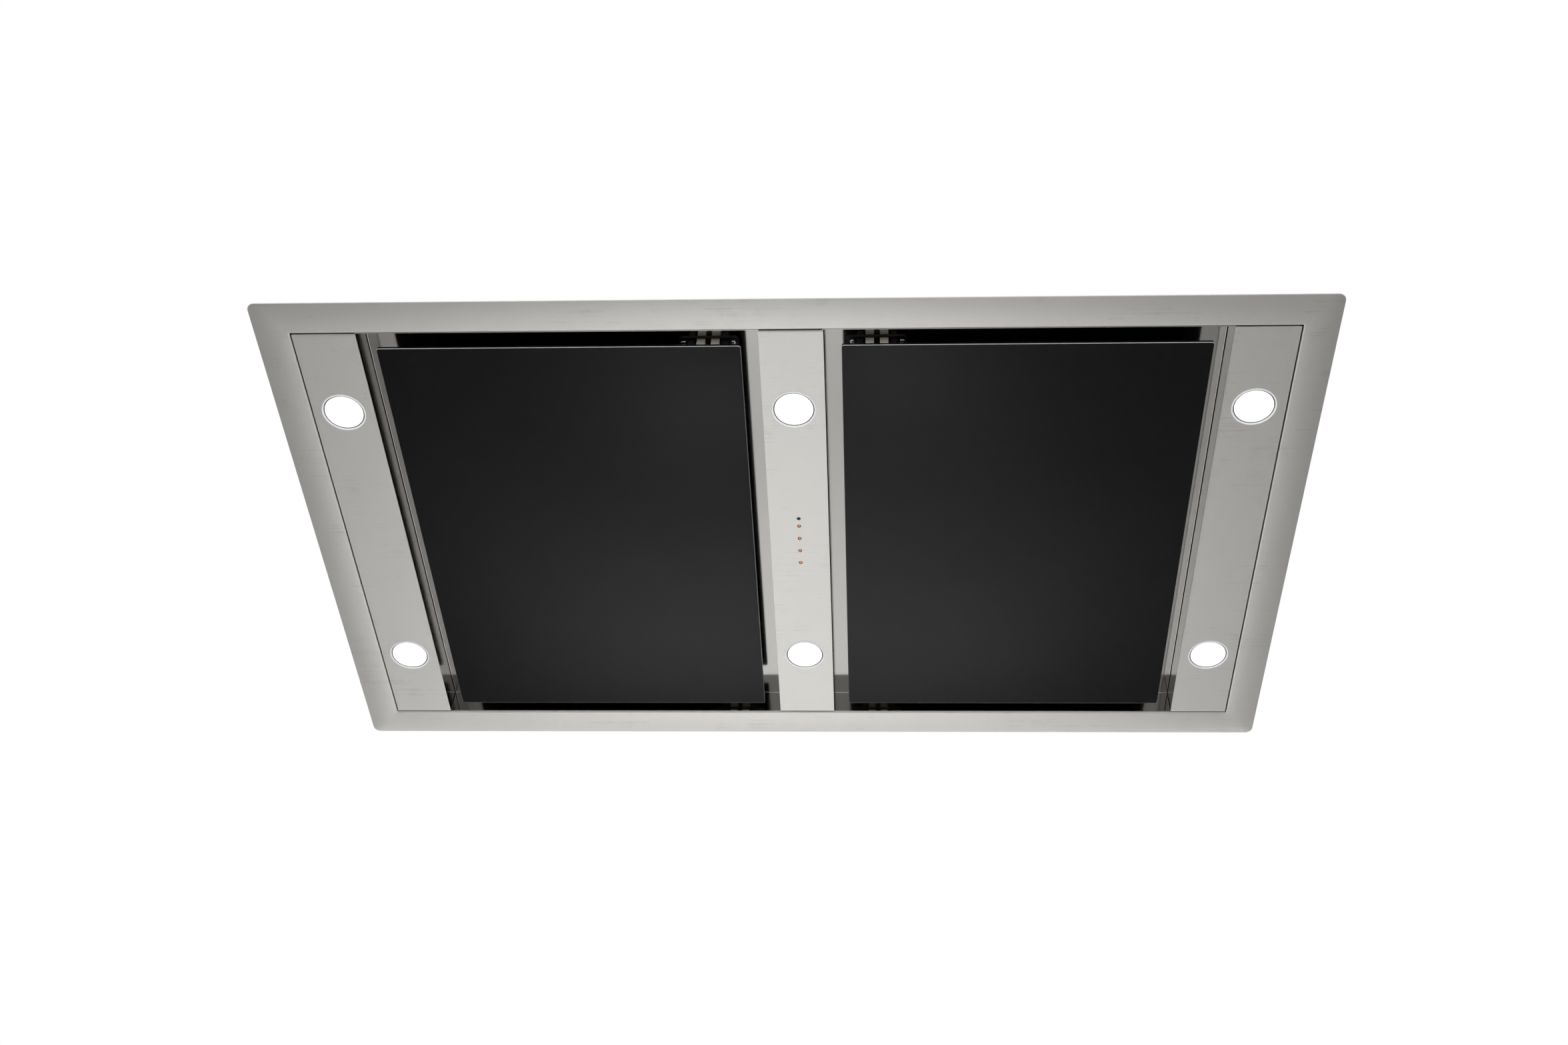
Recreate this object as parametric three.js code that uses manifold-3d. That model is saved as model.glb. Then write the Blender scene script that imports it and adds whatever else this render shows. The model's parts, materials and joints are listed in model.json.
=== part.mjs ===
// Ceiling range hood: a flush cassette with two black glass panels over perimeter suction slots.
// Millimetres, +Z up. The origin is the centre of the ceiling flange's lower face,
// +X runs along the hood's length and +Y away from the side that the control lights are read from.

import * as THREE from 'three';
import { mergeVertices } from 'three/addons/utils/BufferGeometryUtils.js';
import Module from 'manifold-3d';

const wasm = await Module();
wasm.setup();

// ---------------------------------------------------------------- driving sizes

const FLANGE_LENGTH = 1200;
const FLANGE_WIDTH = 700;
const FLANGE_BORDER = 41;
const FLANGE_CORNER = 9;
const SHEET = 1;
const HEM_WIDTH = 12;
const HEM_CORNER_RELIEF = 38;
const EDGE_SETBACK = 1;
const SEAT_GAP = 0.3;

/** How far a cutting body reaches past what it cuts, and how far joined bodies run into each other. */
const OVERCUT = 1;
const LAP = 0.5;

const HOUSING_HEIGHT = 300;
const TOP_LEDGE = 16;
const RECESS_DEPTH = 35.2;
const UPSTAND_HEIGHT = 34;
const LINER_BEND = 2;
const FLANGE_BEND = 2;

const STRIP_WIDTH = 72.2;
const STRIP_END_GAP = 0.5;
const STRIP_EDGE_HEIGHT = 12;
const STRIP_BEND = 2;

const LAMP_RADIUS = 25.6;
const LAMP_END_INSET = 109;
const LAMP_WALL = 0.6;
const LAMP_FLOOR = 1.5;
const LAMP_LENS_RADIUS = 23.6;
const LAMP_LENS_THICKNESS = 2.4;
const LAMP_RIM_DROP = 0.8;
const LAMP_LENS_START = 0.6;
const LAMP_FINS = 8;
const LAMP_FIN_HEIGHT = 18;

const RECEIVER_Y = -35;
const INDICATOR_FIRST_Y = -23;
const INDICATOR_PITCH = 20;
const INDICATOR_COUNT = 4;
const CONTROL_HOLE_RADIUS = 2.5;

const PANEL_GAP_SIDE = 20.6;
const PANEL_GAP_END = 19.7;
const PANEL_THICKNESS = 4;
const PANEL_DROP = 1.8;
const PANEL_CORNER = 3;
const PANEL_ARRIS = 0.4;

const FRAME_INSET_FREE = 18;
const FRAME_INSET_HINGE = 20;
const FRAME_INSET_END = 11;
const FRAME_BAR = 26;
const FRAME_SHEET = 1.2;
const FRAME_RIM_HEIGHT = 8;
const WELD_LAP = 0.2;

const HINGE_INSET = 14.3;
const HINGE_HEIGHT = 10;
const HINGE_END_INSET = 90;
const HINGE_PIN_RADIUS = 1.6;
const HINGE_KNUCKLE_RADIUS = 4;
const HINGE_WIDTH = 44;
const HINGE_ARM_WIDTH = 22;

const CATCH_INSET = 39.3;
const CATCH_END_INSET = 20;
const CATCH_PLATE_LENGTH = 68;
const CATCH_DEPTH = 16;
const CATCH_PLATE = 1.5;
const CATCH_RAIL = 1.5;
const JAW_WIDTH = 9.5;
const JAW_GAP = 6.8;
const JAW_HEIGHT = 20.9;
const JAW_TRAVEL = 2.5;
const JAW_NOSE = 2;
const JAW_NOSE_PLACE = 0.42;
const JAW_NOSE_HALF = 4;
const TONGUE_WIDTH = 4.6;
const TONGUE_TOP = 25;
const TONGUE_DEPTH = 8;

const FILTER_INSET_SIDE = 45;
const FILTER_INSET_END = 65;
const FILTER_HEIGHT = 9;
const FILTER_BAR = 14;
const FILTER_LATCH_BAR = 32;
const FILTER_CORNER = 6;
const GROOVE_DEPTH = 5;
const GROOVE_LIP = 2;
const FILTER_CLEARANCE = 1.5;
const FILTER_DROP = 2.2;
const FILTER_PLEATS = 40;
const LATCH_TRAVEL = 7;

const WHEEL_RADIUS = 96;
const WHEEL_WIDTH = 120;
const BLADE_DEPTH = 17;
const BLADE_THICKNESS = 1.2;
const BLADE_COUNT = 28;
const BLADE_SWEEP = 0.2;
const SCROLL_WIDTH = 136;
const SCROLL_START = 108;
const SCROLL_END = 150;
const SCROLL_CUTOFF = THREE.MathUtils.degToRad(65);
const SCROLL_SHEET = 1.2;
const SCROLL_RIM = 14;
const INLET_RADIUS = 76;
const INLET_LIP = 6;
const WHEEL_HEIGHT = 180;
const MOTOR_RADIUS = 44;
const MOTOR_START = 6;
const MOTOR_RIB = 3;
const SHAFT_RADIUS = 5;

const DUCT_RADIUS = 75;
const COLLAR_HEIGHT = 55;
const COLLAR_WALL = 1.2;
const COLLAR_FLANGE = 190;
const FLAP_PIN_HEIGHT = 14;
const FLAP_PIN_RADIUS = 1.5;

const SWAGE_WIDTH = 18;
const SWAGE_HEIGHT = 4;
const RAIL_HEIGHT = 30;
const RAIL_WIDTH = 40;
const RAIL_FOOT = 18;
const RAIL_WALL = 2;
const RAIL_INSET = 90;
const ROD_HOLE_RADIUS = 4.5;

const GLAND_INSET_X = 142.3;
const GLAND_INSET_Y = 90;
const GLAND_RADIUS = 10;
const GLAND_BORE = 4;
const BOX_LENGTH = 150;
const BOX_DEPTH = 100;
const BOX_HEIGHT = 52;

const ROUND_STEPS = 32;
const LAMP_STEPS = 20;
const PIN_STEPS = 10;
const SMALL_STEPS = 8;

// ---------------------------------------------------------------- sizes that follow

const openingX = FLANGE_LENGTH / 2 - FLANGE_BORDER;
const openingY = FLANGE_WIDTH / 2 - FLANGE_BORDER;
const upstandX = openingX + EDGE_SETBACK + SHEET;
const upstandY = openingY + EDGE_SETBACK + SHEET;
const housingX = upstandX + SEAT_GAP + SHEET;
const housingY = upstandY + SEAT_GAP + SHEET;
const wallSetback = EDGE_SETBACK / 2;
const trayWallSetback = wallSetback + SHEET + SEAT_GAP;
const centreEdge = STRIP_WIDTH / 2;
const outerStripX = openingX - STRIP_END_GAP - STRIP_WIDTH / 2;
const outerStripEdge = outerStripX - STRIP_WIDTH / 2;
const linerInner = centreEdge - wallSetback;
const linerOuter = outerStripEdge + wallSetback;
const linerCentre = (linerInner + linerOuter) / 2;
const linerY = openingY + EDGE_SETBACK - SEAT_GAP;
const ceilingTop = RECESS_DEPTH + SHEET;
const panelInner = linerInner + PANEL_GAP_SIDE;
const panelOuter = linerOuter - PANEL_GAP_SIDE;
const panelHalfY = linerY - PANEL_GAP_END;
const glassTop = PANEL_THICKNESS - PANEL_DROP;
const hingeX = panelOuter - HINGE_INSET;
const hingeRowY = panelHalfY - HINGE_END_INSET;
const catchX = panelInner + CATCH_INSET;
const catchRowY = panelHalfY - CATCH_END_INSET;
const lampRowY = openingY - LAMP_END_INSET;
const filterHalfX = (panelOuter - panelInner) / 2 - FILTER_INSET_SIDE;
const filterHalfY = panelHalfY - FILTER_INSET_END;
const catchUnderside = RECESS_DEPTH - SEAT_GAP - CATCH_PLATE;
const jawTop = catchUnderside - SEAT_GAP;
const jawBottom = jawTop - JAW_HEIGHT;
const filterBottom = RECESS_DEPTH - FILTER_DROP;
const filterTop = filterBottom + FILTER_HEIGHT;
const topPlateBottom = HOUSING_HEIGHT + SEAT_GAP;
const topPlateTop = topPlateBottom + SHEET;
const jawNoseZ = jawBottom + JAW_WIDTH * JAW_NOSE_PLACE;
const mouthStart = SCROLL_START * Math.cos(SCROLL_CUTOFF);
const wheelY = -(mouthStart + SCROLL_END) / 2;

// ---------------------------------------------------------------- finishes

const finish = (color, roughness, metalness) => (
  new THREE.MeshStandardMaterial({ color, roughness, metalness })
);
const BRUSHED = finish('#b9b8b4', 0.34, 1);
const BRIGHT = finish('#a7a39d', 0.2, 1);
const GALVANISED = finish('#9ea3a6', 0.5, 0.9);
const ALUMINIUM = finish('#c9cbcc', 0.4, 1);
const BLACK_GLASS = finish('#0d0e10', 0.06, 0);
const BLACK_PAINT = finish('#17181a', 0.5, 0.2);
const CREAM_NYLON = finish('#e2dccb', 0.45, 0);
const LAMP_WHITE = finish('#ffffff', 0.5, 0);
const RED_LIGHT = finish('#ff5a2c', 0.3, 0);
const GREEN_BOARD = finish('#1f5a36', 0.5, 0);
const GREY_PLASTIC = finish('#8d9094', 0.5, 0);
const BLACK_PLASTIC = finish('#1b1c1e', 0.45, 0);

// ---------------------------------------------------------------- shape helpers

/** Makes a closed three.js geometry into a solid that can be joined and cut. */
function solid(geometry) {
  const bare = geometry.clone();
  bare.deleteAttribute('normal');
  bare.deleteAttribute('uv');
  const merged = mergeVertices(bare, 1e-4);
  return new wasm.Manifold(new wasm.Mesh({
    numProp: 3,
    vertProperties: new Float32Array(merged.attributes.position.array),
    triVerts: new Uint32Array(merged.index.array),
  }));
}

/** Gives a solid back as a three.js geometry. */
function geometryOf(body) {
  const { vertProperties, triVerts } = body.getMesh();
  const geometry = new THREE.BufferGeometry();
  geometry.setAttribute('position', new THREE.BufferAttribute(vertProperties, 3));
  geometry.setIndex(new THREE.BufferAttribute(triVerts, 1));
  const faceted = geometry.toNonIndexed();
  faceted.computeVertexNormals();
  return faceted;
}

/** Joins solids into one. */
const joined = (...bodies) => bodies.reduce((sum, body) => sum.add(body));

/** A box between two values on each axis. */
function block([x0, x1], [y0, y1], [z0, z1]) {
  const geometry = new THREE.BoxGeometry(x1 - x0, y1 - y0, z1 - z0);
  geometry.translate((x0 + x1) / 2, (y0 + y1) / 2, (z0 + z1) / 2);
  return solid(geometry);
}

/** A rectangle with round corners, from its edges. */
function roundedRectangle(x0, x1, y0, y1, radius) {
  const shape = new THREE.Shape();
  shape.moveTo(x0 + radius, y0);
  shape.lineTo(x1 - radius, y0);
  shape.absarc(x1 - radius, y0 + radius, radius, -Math.PI / 2, 0);
  shape.lineTo(x1, y1 - radius);
  shape.absarc(x1 - radius, y1 - radius, radius, 0, Math.PI / 2);
  shape.lineTo(x0 + radius, y1);
  shape.absarc(x0 + radius, y1 - radius, radius, Math.PI / 2, Math.PI);
  shape.lineTo(x0, y0 + radius);
  shape.absarc(x0 + radius, y0 + radius, radius, Math.PI, Math.PI * 1.5);
  return shape;
}

/** A closed outline through points. */
const outline = (...points) => new THREE.Shape(points.map(([u, v]) => new THREE.Vector2(u, v)));

/** An outline in X and Y carried up from one height to another. */
function upright(shape, z0, z1, curveSegments = 5) {
  const geometry = new THREE.ExtrudeGeometry(shape, { depth: z1 - z0, bevelEnabled: false, curveSegments });
  geometry.translate(0, 0, z0);
  return solid(geometry);
}

/** An outline in X and Z carried along Y. */
function alongY(shape, y0, y1, curveSegments = 5) {
  const geometry = new THREE.ExtrudeGeometry(shape, { depth: y1 - y0, bevelEnabled: false, curveSegments });
  geometry.rotateX(Math.PI / 2);
  geometry.translate(0, y1, 0);
  return solid(geometry);
}

/** An outline in Y and Z carried along X. */
function alongX(shape, x0, x1, curveSegments = 5) {
  const geometry = new THREE.ExtrudeGeometry(shape, { depth: x1 - x0, bevelEnabled: false, curveSegments });
  const turn = new THREE.Matrix4().makeBasis(
    new THREE.Vector3(0, 1, 0),
    new THREE.Vector3(0, 0, 1),
    new THREE.Vector3(1, 0, 0),
  );
  geometry.applyMatrix4(turn);
  geometry.translate(x0, 0, 0);
  return solid(geometry);
}

/** A profile of radius and height, listed anticlockwise, turned about the Z axis. */
function turned(profile, steps = ROUND_STEPS) {
  const geometry = new THREE.LatheGeometry(profile.map(([r, z]) => new THREE.Vector2(r, z)), steps);
  geometry.rotateX(Math.PI / 2);
  return solid(geometry);
}

/** A round bar along Z. */
const bar = (radius, z0, z1, steps) => turned([[0, z0], [radius, z0], [radius, z1], [0, z1]], steps);

/** A round bar along X, about the line y, z. */
function barAlongX(radius, x0, x1, [y, z] = [0, 0], steps = ROUND_STEPS) {
  return bar(radius, x0, x1, steps).rotate([0, 90, 0]).translate([0, y, z]);
}

/** A round bar along Y, about the line x, z. */
function barAlongY(radius, y0, y1, [x, z] = [0, 0], steps = SMALL_STEPS) {
  return bar(radius, -y1, -y0, steps).rotate([90, 0, 0]).translate([x, 0, z]);
}

/** A closed section of outward offsets and heights, listed anticlockwise, carried round a rectangle. */
function carriedRound(section, halfX, halfY) {
  const corners = [[1, 1], [-1, 1], [-1, -1], [1, -1]];
  const points = corners.flatMap(([sx, sy]) => section.map(
    ([offset, z]) => [sx * (halfX + offset), sy * (halfY + offset), z],
  ));
  const count = section.length;
  const index = [];
  for (let corner = 0; corner < corners.length; corner += 1) {
    for (let i = 0; i < count; i += 1) {
      const next = (i + 1) % count;
      const here = corner * count;
      const there = (corner + 1) % corners.length * count;
      index.push(here + i, there + i, there + next, here + i, there + next, here + next);
    }
  }
  const geometry = new THREE.BufferGeometry();
  geometry.setAttribute('position', new THREE.BufferAttribute(new Float32Array(points.flat()), 3));
  geometry.setIndex(index);
  return solid(geometry);
}

/** A rectangular ring between two heights, from its outer half sizes and its wall. */
const ring = (halfX, halfY, wall, z0, z1) => carriedRound(
  [[-wall, z0], [0, z0], [0, z1], [-wall, z1]], halfX, halfY,
);

/** Points of an arc about a centre, between two angles in degrees. */
function arcPoints([u, v], radius, start, end, steps = 3) {
  return Array.from({ length: steps + 1 }, (_, i) => {
    const angle = THREE.MathUtils.degToRad(start + (end - start) * i / steps);
    return [u + radius * Math.cos(angle), v + radius * Math.sin(angle)];
  });
}

const hood = new THREE.Group();

/** Adds a named piece to a group. */
function addPart(group, name, body, material) {
  const mesh = new THREE.Mesh(geometryOf(body), material);
  mesh.name = name;
  group.add(mesh);
  return mesh;
}

// ---------------------------------------------------------------- casing

/** Visible frame against the ceiling: hemmed outer edge, and a round bend up into the opening's upstand. */
function ceilingFlange() {
  const halfX = FLANGE_LENGTH / 2;
  const halfY = FLANGE_WIDTH / 2;
  const face = upright(roundedRectangle(-halfX, halfX, -halfY, halfY, FLANGE_CORNER), 0, SHEET);
  const bend = EDGE_SETBACK + FLANGE_BEND;
  const opening = block(
    [-openingX - bend, openingX + bend], [-openingY - bend, openingY + bend], [-OVERCUT, SHEET + OVERCUT],
  );
  const folded = carriedRound([
    ...arcPoints([bend, FLANGE_BEND], FLANGE_BEND, 180, 270),
    [bend + SHEET, 0], [bend + SHEET, SHEET],
    ...arcPoints([bend, FLANGE_BEND], FLANGE_BEND - SHEET, 270, 180),
    [EDGE_SETBACK + SHEET, UPSTAND_HEIGHT], [EDGE_SETBACK, UPSTAND_HEIGHT],
  ], openingX, openingY);
  const hemTop = 2 * SHEET;
  const endX = halfX - HEM_CORNER_RELIEF;
  const endY = halfY - HEM_CORNER_RELIEF;
  const hems = [
    block([-endX, endX], [-halfY, HEM_WIDTH - halfY], [SHEET / 2, hemTop]),
    block([-endX, endX], [halfY - HEM_WIDTH, halfY], [SHEET / 2, hemTop]),
    block([-halfX, HEM_WIDTH - halfX], [-endY, endY], [SHEET / 2, hemTop]),
    block([halfX - HEM_WIDTH, halfX], [-endY, endY], [SHEET / 2, hemTop]),
  ];
  return joined(face.subtract(opening), folded, ...hems);
}

/** Folded side walls with a ledge round the top that the top plate is screwed to. */
function housingWalls() {
  const walls = ring(housingX, housingY, SHEET, FLANGE_BEND, HOUSING_HEIGHT);
  const ledge = ring(housingX, housingY, TOP_LEDGE, HOUSING_HEIGHT - SHEET, HOUSING_HEIGHT);
  return walls.add(ledge);
}

/** Removable top plate with the outlet hole, the cable hole and two stiffening swages. */
function housingTopPlate() {
  const corner = 2;
  const plate = upright(
    roundedRectangle(-housingX, housingX, -housingY, housingY, corner), topPlateBottom, topPlateTop,
  );
  const hole = (radius, steps) => bar(radius, topPlateBottom - OVERCUT, topPlateTop + OVERCUT, steps);
  const outlet = hole(DUCT_RADIUS - COLLAR_WALL);
  const cableHole = hole(GLAND_RADIUS + 1, PIN_STEPS).translate([glandPlace.x, glandPlace.y, 0]);
  const foot = topPlateTop - LAP;
  const swage = new THREE.Shape();
  swage.moveTo(-SWAGE_WIDTH / 2, foot);
  swage.lineTo(SWAGE_WIDTH / 2, foot);
  swage.quadraticCurveTo(0, topPlateTop + 2 * SWAGE_HEIGHT, -SWAGE_WIDTH / 2, foot);
  const railEdge = housingX - RAIL_INSET - RAIL_WIDTH / 2 - RAIL_FOOT;
  const swageX = (railEdge + COLLAR_FLANGE / 2) / 2;
  const swageY = housingY - 1.5 * SWAGE_WIDTH;
  const swages = [-1, 1].map((side) => alongY(swage, -swageY, swageY).translate([side * swageX, 0, 0]));
  return joined(plate, ...swages).subtract(outlet).subtract(cableHole);
}

/** Hat-section rail across the top: threaded rods from the slab pass through its two holes. */
function hangingRail() {
  const foot = topPlateTop + SEAT_GAP;
  const top = foot + RAIL_HEIGHT;
  const half = RAIL_WIDTH / 2;
  const wall = RAIL_WALL;
  const profile = outline(
    [-half - RAIL_FOOT, foot], [-half + wall, foot], [-half + wall, top - wall], [half - wall, top - wall],
    [half - wall, foot], [half + RAIL_FOOT, foot], [half + RAIL_FOOT, foot + wall], [half, foot + wall],
    [half, top], [-half, top], [-half, foot + wall], [-half - RAIL_FOOT, foot + wall],
  );
  const rodY = housingY - RAIL_INSET / 2;
  const rodHoles = [-1, 1].map((side) => bar(ROD_HOLE_RADIUS, top - 2 * wall, top + OVERCUT, SMALL_STEPS)
    .translate([0, side * rodY, 0]));
  const body = alongY(profile, -housingY, housingY);
  return rodHoles.reduce((rest, hole) => rest.subtract(hole), body);
}

// ---------------------------------------------------------------- recess and suction

/** Bright folded pan that forms the ceiling and four walls of one recess, cut for the filter. */
function recessLiner() {
  const cornerFlat = 0.2;
  const shell = (grow, z1) => {
    const radius = LINER_BEND - (SHEET - grow);
    const x0 = linerInner - grow;
    const x1 = linerOuter + grow;
    const y1 = linerY - SHEET + grow;
    const shape = roundedRectangle(x0 + radius, x1 - radius, radius - y1, y1 - radius, cornerFlat);
    const geometry = new THREE.ExtrudeGeometry(shape, {
      depth: z1, bevelEnabled: true, bevelSize: radius, bevelThickness: radius,
      bevelSegments: 3, curveSegments: 2,
    });
    geometry.translate(0, 0, -radius);
    return solid(geometry);
  };
  const bottom = SHEET + SEAT_GAP;
  const outer = shell(SHEET, ceilingTop);
  const inner = shell(0, RECESS_DEPTH);
  const below = block([0, FLANGE_LENGTH], [-FLANGE_WIDTH, FLANGE_WIDTH], [-LINER_BEND * 4, bottom]);
  const halfX = filterHalfX + FILTER_CLEARANCE;
  const halfY = filterHalfY + FILTER_CLEARANCE;
  const corner = FILTER_CORNER + FILTER_CLEARANCE;
  const filterHole = upright(
    roundedRectangle(linerCentre - halfX, linerCentre + halfX, -halfY, halfY, corner),
    RECESS_DEPTH - OVERCUT, ceilingTop + OVERCUT,
  );
  return outer.subtract(inner).subtract(below).subtract(filterHole);
}

/** Cassette frame of the grease filter, with the latch pocket on the side of the centre strip. */
function filterFrame() {
  const halfX = filterHalfX;
  const halfY = filterHalfY;
  const windowStart = FILTER_LATCH_BAR - halfX;
  const windowEnd = halfX - FILTER_BAR;
  const windowY = halfY - FILTER_BAR;
  const windowCorner = FILTER_CORNER - GROOVE_LIP;
  const frame = upright(
    roundedRectangle(-halfX, halfX, -halfY, halfY, FILTER_CORNER), filterBottom, filterTop, 3,
  );
  const window = upright(
    roundedRectangle(windowStart, windowEnd, -windowY, windowY, windowCorner),
    filterBottom - OVERCUT, filterTop + OVERCUT, 2,
  );
  const groove = block(
    [windowStart - GROOVE_DEPTH, windowEnd + GROOVE_DEPTH], [-windowY - GROOVE_DEPTH, windowY + GROOVE_DEPTH],
    [filterBottom + GROOVE_LIP, filterTop - GROOVE_LIP],
  );
  const tab = { half: 9, reach: 5, root: 3, thickness: 1.5, y: halfY * 0.65, bottom: ceilingTop + SEAT_GAP };
  const tabs = [-1, 1].map((side) => block(
    [halfX - tab.root, halfX + tab.reach], [side * tab.y - tab.half, side * tab.y + tab.half],
    [tab.bottom, tab.bottom + tab.thickness],
  ));
  const pocketY = latch.halfLength + latch.play;
  const pocket = block(
    [latch.pocketStart - halfX, latch.pocketEnd - halfX], [-pocketY, pocketY],
    [latch.floor, filterTop + OVERCUT],
  );
  const mouthY = latch.tongueHalf + latch.play;
  const mouth = block(
    [-halfX - OVERCUT, latch.pocketStart + OVERCUT - halfX], [-mouthY, mouthY],
    [latch.floor, filterTop + OVERCUT],
  );
  const slotPlay = latch.play / 2;
  const gripSlot = block(
    [latch.gripStart - slotPlay - halfX, latch.gripStart + latch.grip + LATCH_TRAVEL + slotPlay - halfX],
    [-latch.gripHalf - slotPlay, latch.gripHalf + slotPlay], [filterBottom - OVERCUT, latch.floor + OVERCUT],
  );
  return joined(frame, ...tabs).subtract(window).subtract(groove).subtract(pocket).subtract(mouth)
    .subtract(gripSlot);
}

/** Pleated aluminium mesh pack, whose edges lie in the frame's groove. */
function filterMesh() {
  const sheet = 1.1;
  const inGroove = GROOVE_DEPTH - 1;
  const halfX = filterHalfX;
  const halfY = filterHalfY - FILTER_BAR + inGroove;
  const x0 = FILTER_LATCH_BAR - inGroove - halfX;
  const x1 = halfX - FILTER_BAR + inGroove;
  const z0 = filterBottom + GROOVE_LIP + SEAT_GAP;
  const z1 = filterTop - GROOVE_LIP - SEAT_GAP;
  const pitch = (x1 - x0) / FILTER_PLEATS;
  const lower = [];
  const upper = [];
  for (let i = 0; i <= FILTER_PLEATS; i += 1) {
    const rise = i % 2 ? z1 - sheet - z0 : 0;
    lower.push([x0 + i * pitch, z0 + rise]);
    upper.unshift([x0 + i * pitch, z0 + rise + sheet]);
  }
  return alongY(outline(...lower, ...upper), -halfY, halfY);
}

const latch = {
  pocketStart: 2.5,
  pocketEnd: 26,
  halfLength: 36,
  tongueHalf: 24,
  gripStart: 5,
  grip: 6,
  gripHalf: 19,
  play: 1,
  plateLength: 14,
  plateThickness: 2,
  tongueReach: 5,
  floor: ceilingTop + 0.1,
};

/** Sprung slider that holds the filter up: its tongue lies over the recess ceiling. */
function filterLatch() {
  const halfX = filterHalfX;
  const z0 = latch.floor + SEAT_GAP;
  const z1 = z0 + latch.plateThickness;
  const start = latch.pocketStart + SEAT_GAP - halfX;
  const plateY = latch.halfLength - SEAT_GAP;
  const plate = block([start, start + latch.plateLength], [-plateY, plateY], [z0, z1]);
  const tongue = block(
    [-halfX - latch.tongueReach, start + OVERCUT], [-latch.tongueHalf, latch.tongueHalf], [z0, z1],
  );
  const x0 = latch.gripStart - halfX;
  const x1 = x0 + latch.grip;
  const gripProfile = outline(
    [x0, z0 + LAP], [x0, filterBottom - 6], [x0 + 2, filterBottom - 7], [x0 + 3, filterBottom - 3],
    [x1, filterBottom + 1], [x1, z0 + LAP],
  );
  const grip = alongY(gripProfile, -latch.gripHalf, latch.gripHalf);
  return joined(plate, tongue, grip);
}

// ---------------------------------------------------------------- light strips and controls

/** Shallow folded tray beside a recess, with holes for its two lamps and any control holes. */
function lightStrip(controlHoles) {
  const halfX = STRIP_WIDTH / 2;
  const halfY = openingY - STRIP_END_GAP;
  const bendY = halfY - STRIP_BEND;
  const section = outline(
    [-halfY, STRIP_EDGE_HEIGHT], ...arcPoints([-bendY, STRIP_BEND], STRIP_BEND, 180, 270),
    ...arcPoints([bendY, STRIP_BEND], STRIP_BEND, 270, 360), [halfY, STRIP_EDGE_HEIGHT],
    [halfY - SHEET, STRIP_EDGE_HEIGHT], ...arcPoints([bendY, STRIP_BEND], STRIP_BEND - SHEET, 360, 270),
    ...arcPoints([-bendY, STRIP_BEND], STRIP_BEND - SHEET, 270, 180), [SHEET - halfY, STRIP_EDGE_HEIGHT],
  );
  const wallX = halfX - trayWallSetback;
  const folded = alongX(section, -halfX, halfX);
  const trims = [[-halfX - OVERCUT, -wallX], [wallX, halfX + OVERCUT]].map((span) => block(
    span, [-halfY - OVERCUT, halfY + OVERCUT], [SHEET, STRIP_EDGE_HEIGHT + OVERCUT],
  ));
  const walls = [[-wallX, SHEET - wallX], [wallX - SHEET, wallX]].map((span) => block(
    span, [-bendY, bendY], [SHEET - LAP, STRIP_EDGE_HEIGHT],
  ));
  const tray = joined(folded.subtract(trims[0]).subtract(trims[1]), ...walls);
  const hole = (radius, steps, y) => bar(radius, -OVERCUT, SHEET + OVERCUT, steps).translate([0, y, 0]);
  const lampHole = LAMP_LENS_RADIUS + 2 * SEAT_GAP + LAMP_WALL;
  const lampHoles = [-lampRowY, lampRowY].map((y) => hole(lampHole, LAMP_STEPS, y));
  const smallHoles = controlHoles.map((y) => hole(CONTROL_HOLE_RADIUS, SMALL_STEPS, y));
  return [...lampHoles, ...smallHoles].reduce((rest, cutter) => rest.subtract(cutter), tray);
}

/** Lamp body: thin rim below the strip, cup for the lens and a star of cooling fins above. */
function lampBody() {
  const cup = LAMP_LENS_RADIUS + SEAT_GAP;
  const tube = cup + LAMP_WALL;
  const shelf = LAMP_LENS_START + LAMP_LENS_THICKNESS + SEAT_GAP;
  const finFoot = shelf + LAMP_FLOOR;
  const rimTop = -0.05;
  const shell = turned([
    [cup, -LAMP_RIM_DROP], [LAMP_RADIUS, -LAMP_RIM_DROP], [LAMP_RADIUS, rimTop], [tube, rimTop],
    [tube, finFoot], [0, finFoot], [0, shelf], [cup, shelf], [cup, -LAMP_RIM_DROP],
  ], LAMP_STEPS);
  const star = [];
  for (let i = 0; i < LAMP_FINS; i += 1) {
    const angle = i * 2 * Math.PI / LAMP_FINS;
    const spread = Math.PI / LAMP_FINS;
    star.push([tube * Math.cos(angle - spread / 4), tube * Math.sin(angle - spread / 4)]);
    star.push([tube * Math.cos(angle + spread / 4), tube * Math.sin(angle + spread / 4)]);
    star.push([tube / 2 * Math.cos(angle + spread), tube / 2 * Math.sin(angle + spread)]);
  }
  return shell.add(upright(outline(...star), finFoot - LAP, finFoot + LAMP_FIN_HEIGHT));
}

/** Frosted lens, slightly domed, set back inside the rim. */
function lampLens() {
  const top = LAMP_LENS_START + LAMP_LENS_THICKNESS;
  const dome = 0.5;
  return turned([
    [0, LAMP_LENS_START - dome], [LAMP_LENS_RADIUS, LAMP_LENS_START], [LAMP_LENS_RADIUS, top], [0, top],
  ], LAMP_STEPS);
}

const indicatorRows = Array.from(
  { length: INDICATOR_COUNT }, (_, i) => INDICATOR_FIRST_Y + i * INDICATOR_PITCH,
);

const board = { bottom: 7, thickness: 1.6, halfWidth: 26, start: RECEIVER_Y - 12 };
board.end = INDICATOR_FIRST_Y + (INDICATOR_COUNT - 1) * INDICATOR_PITCH + 16;

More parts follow.
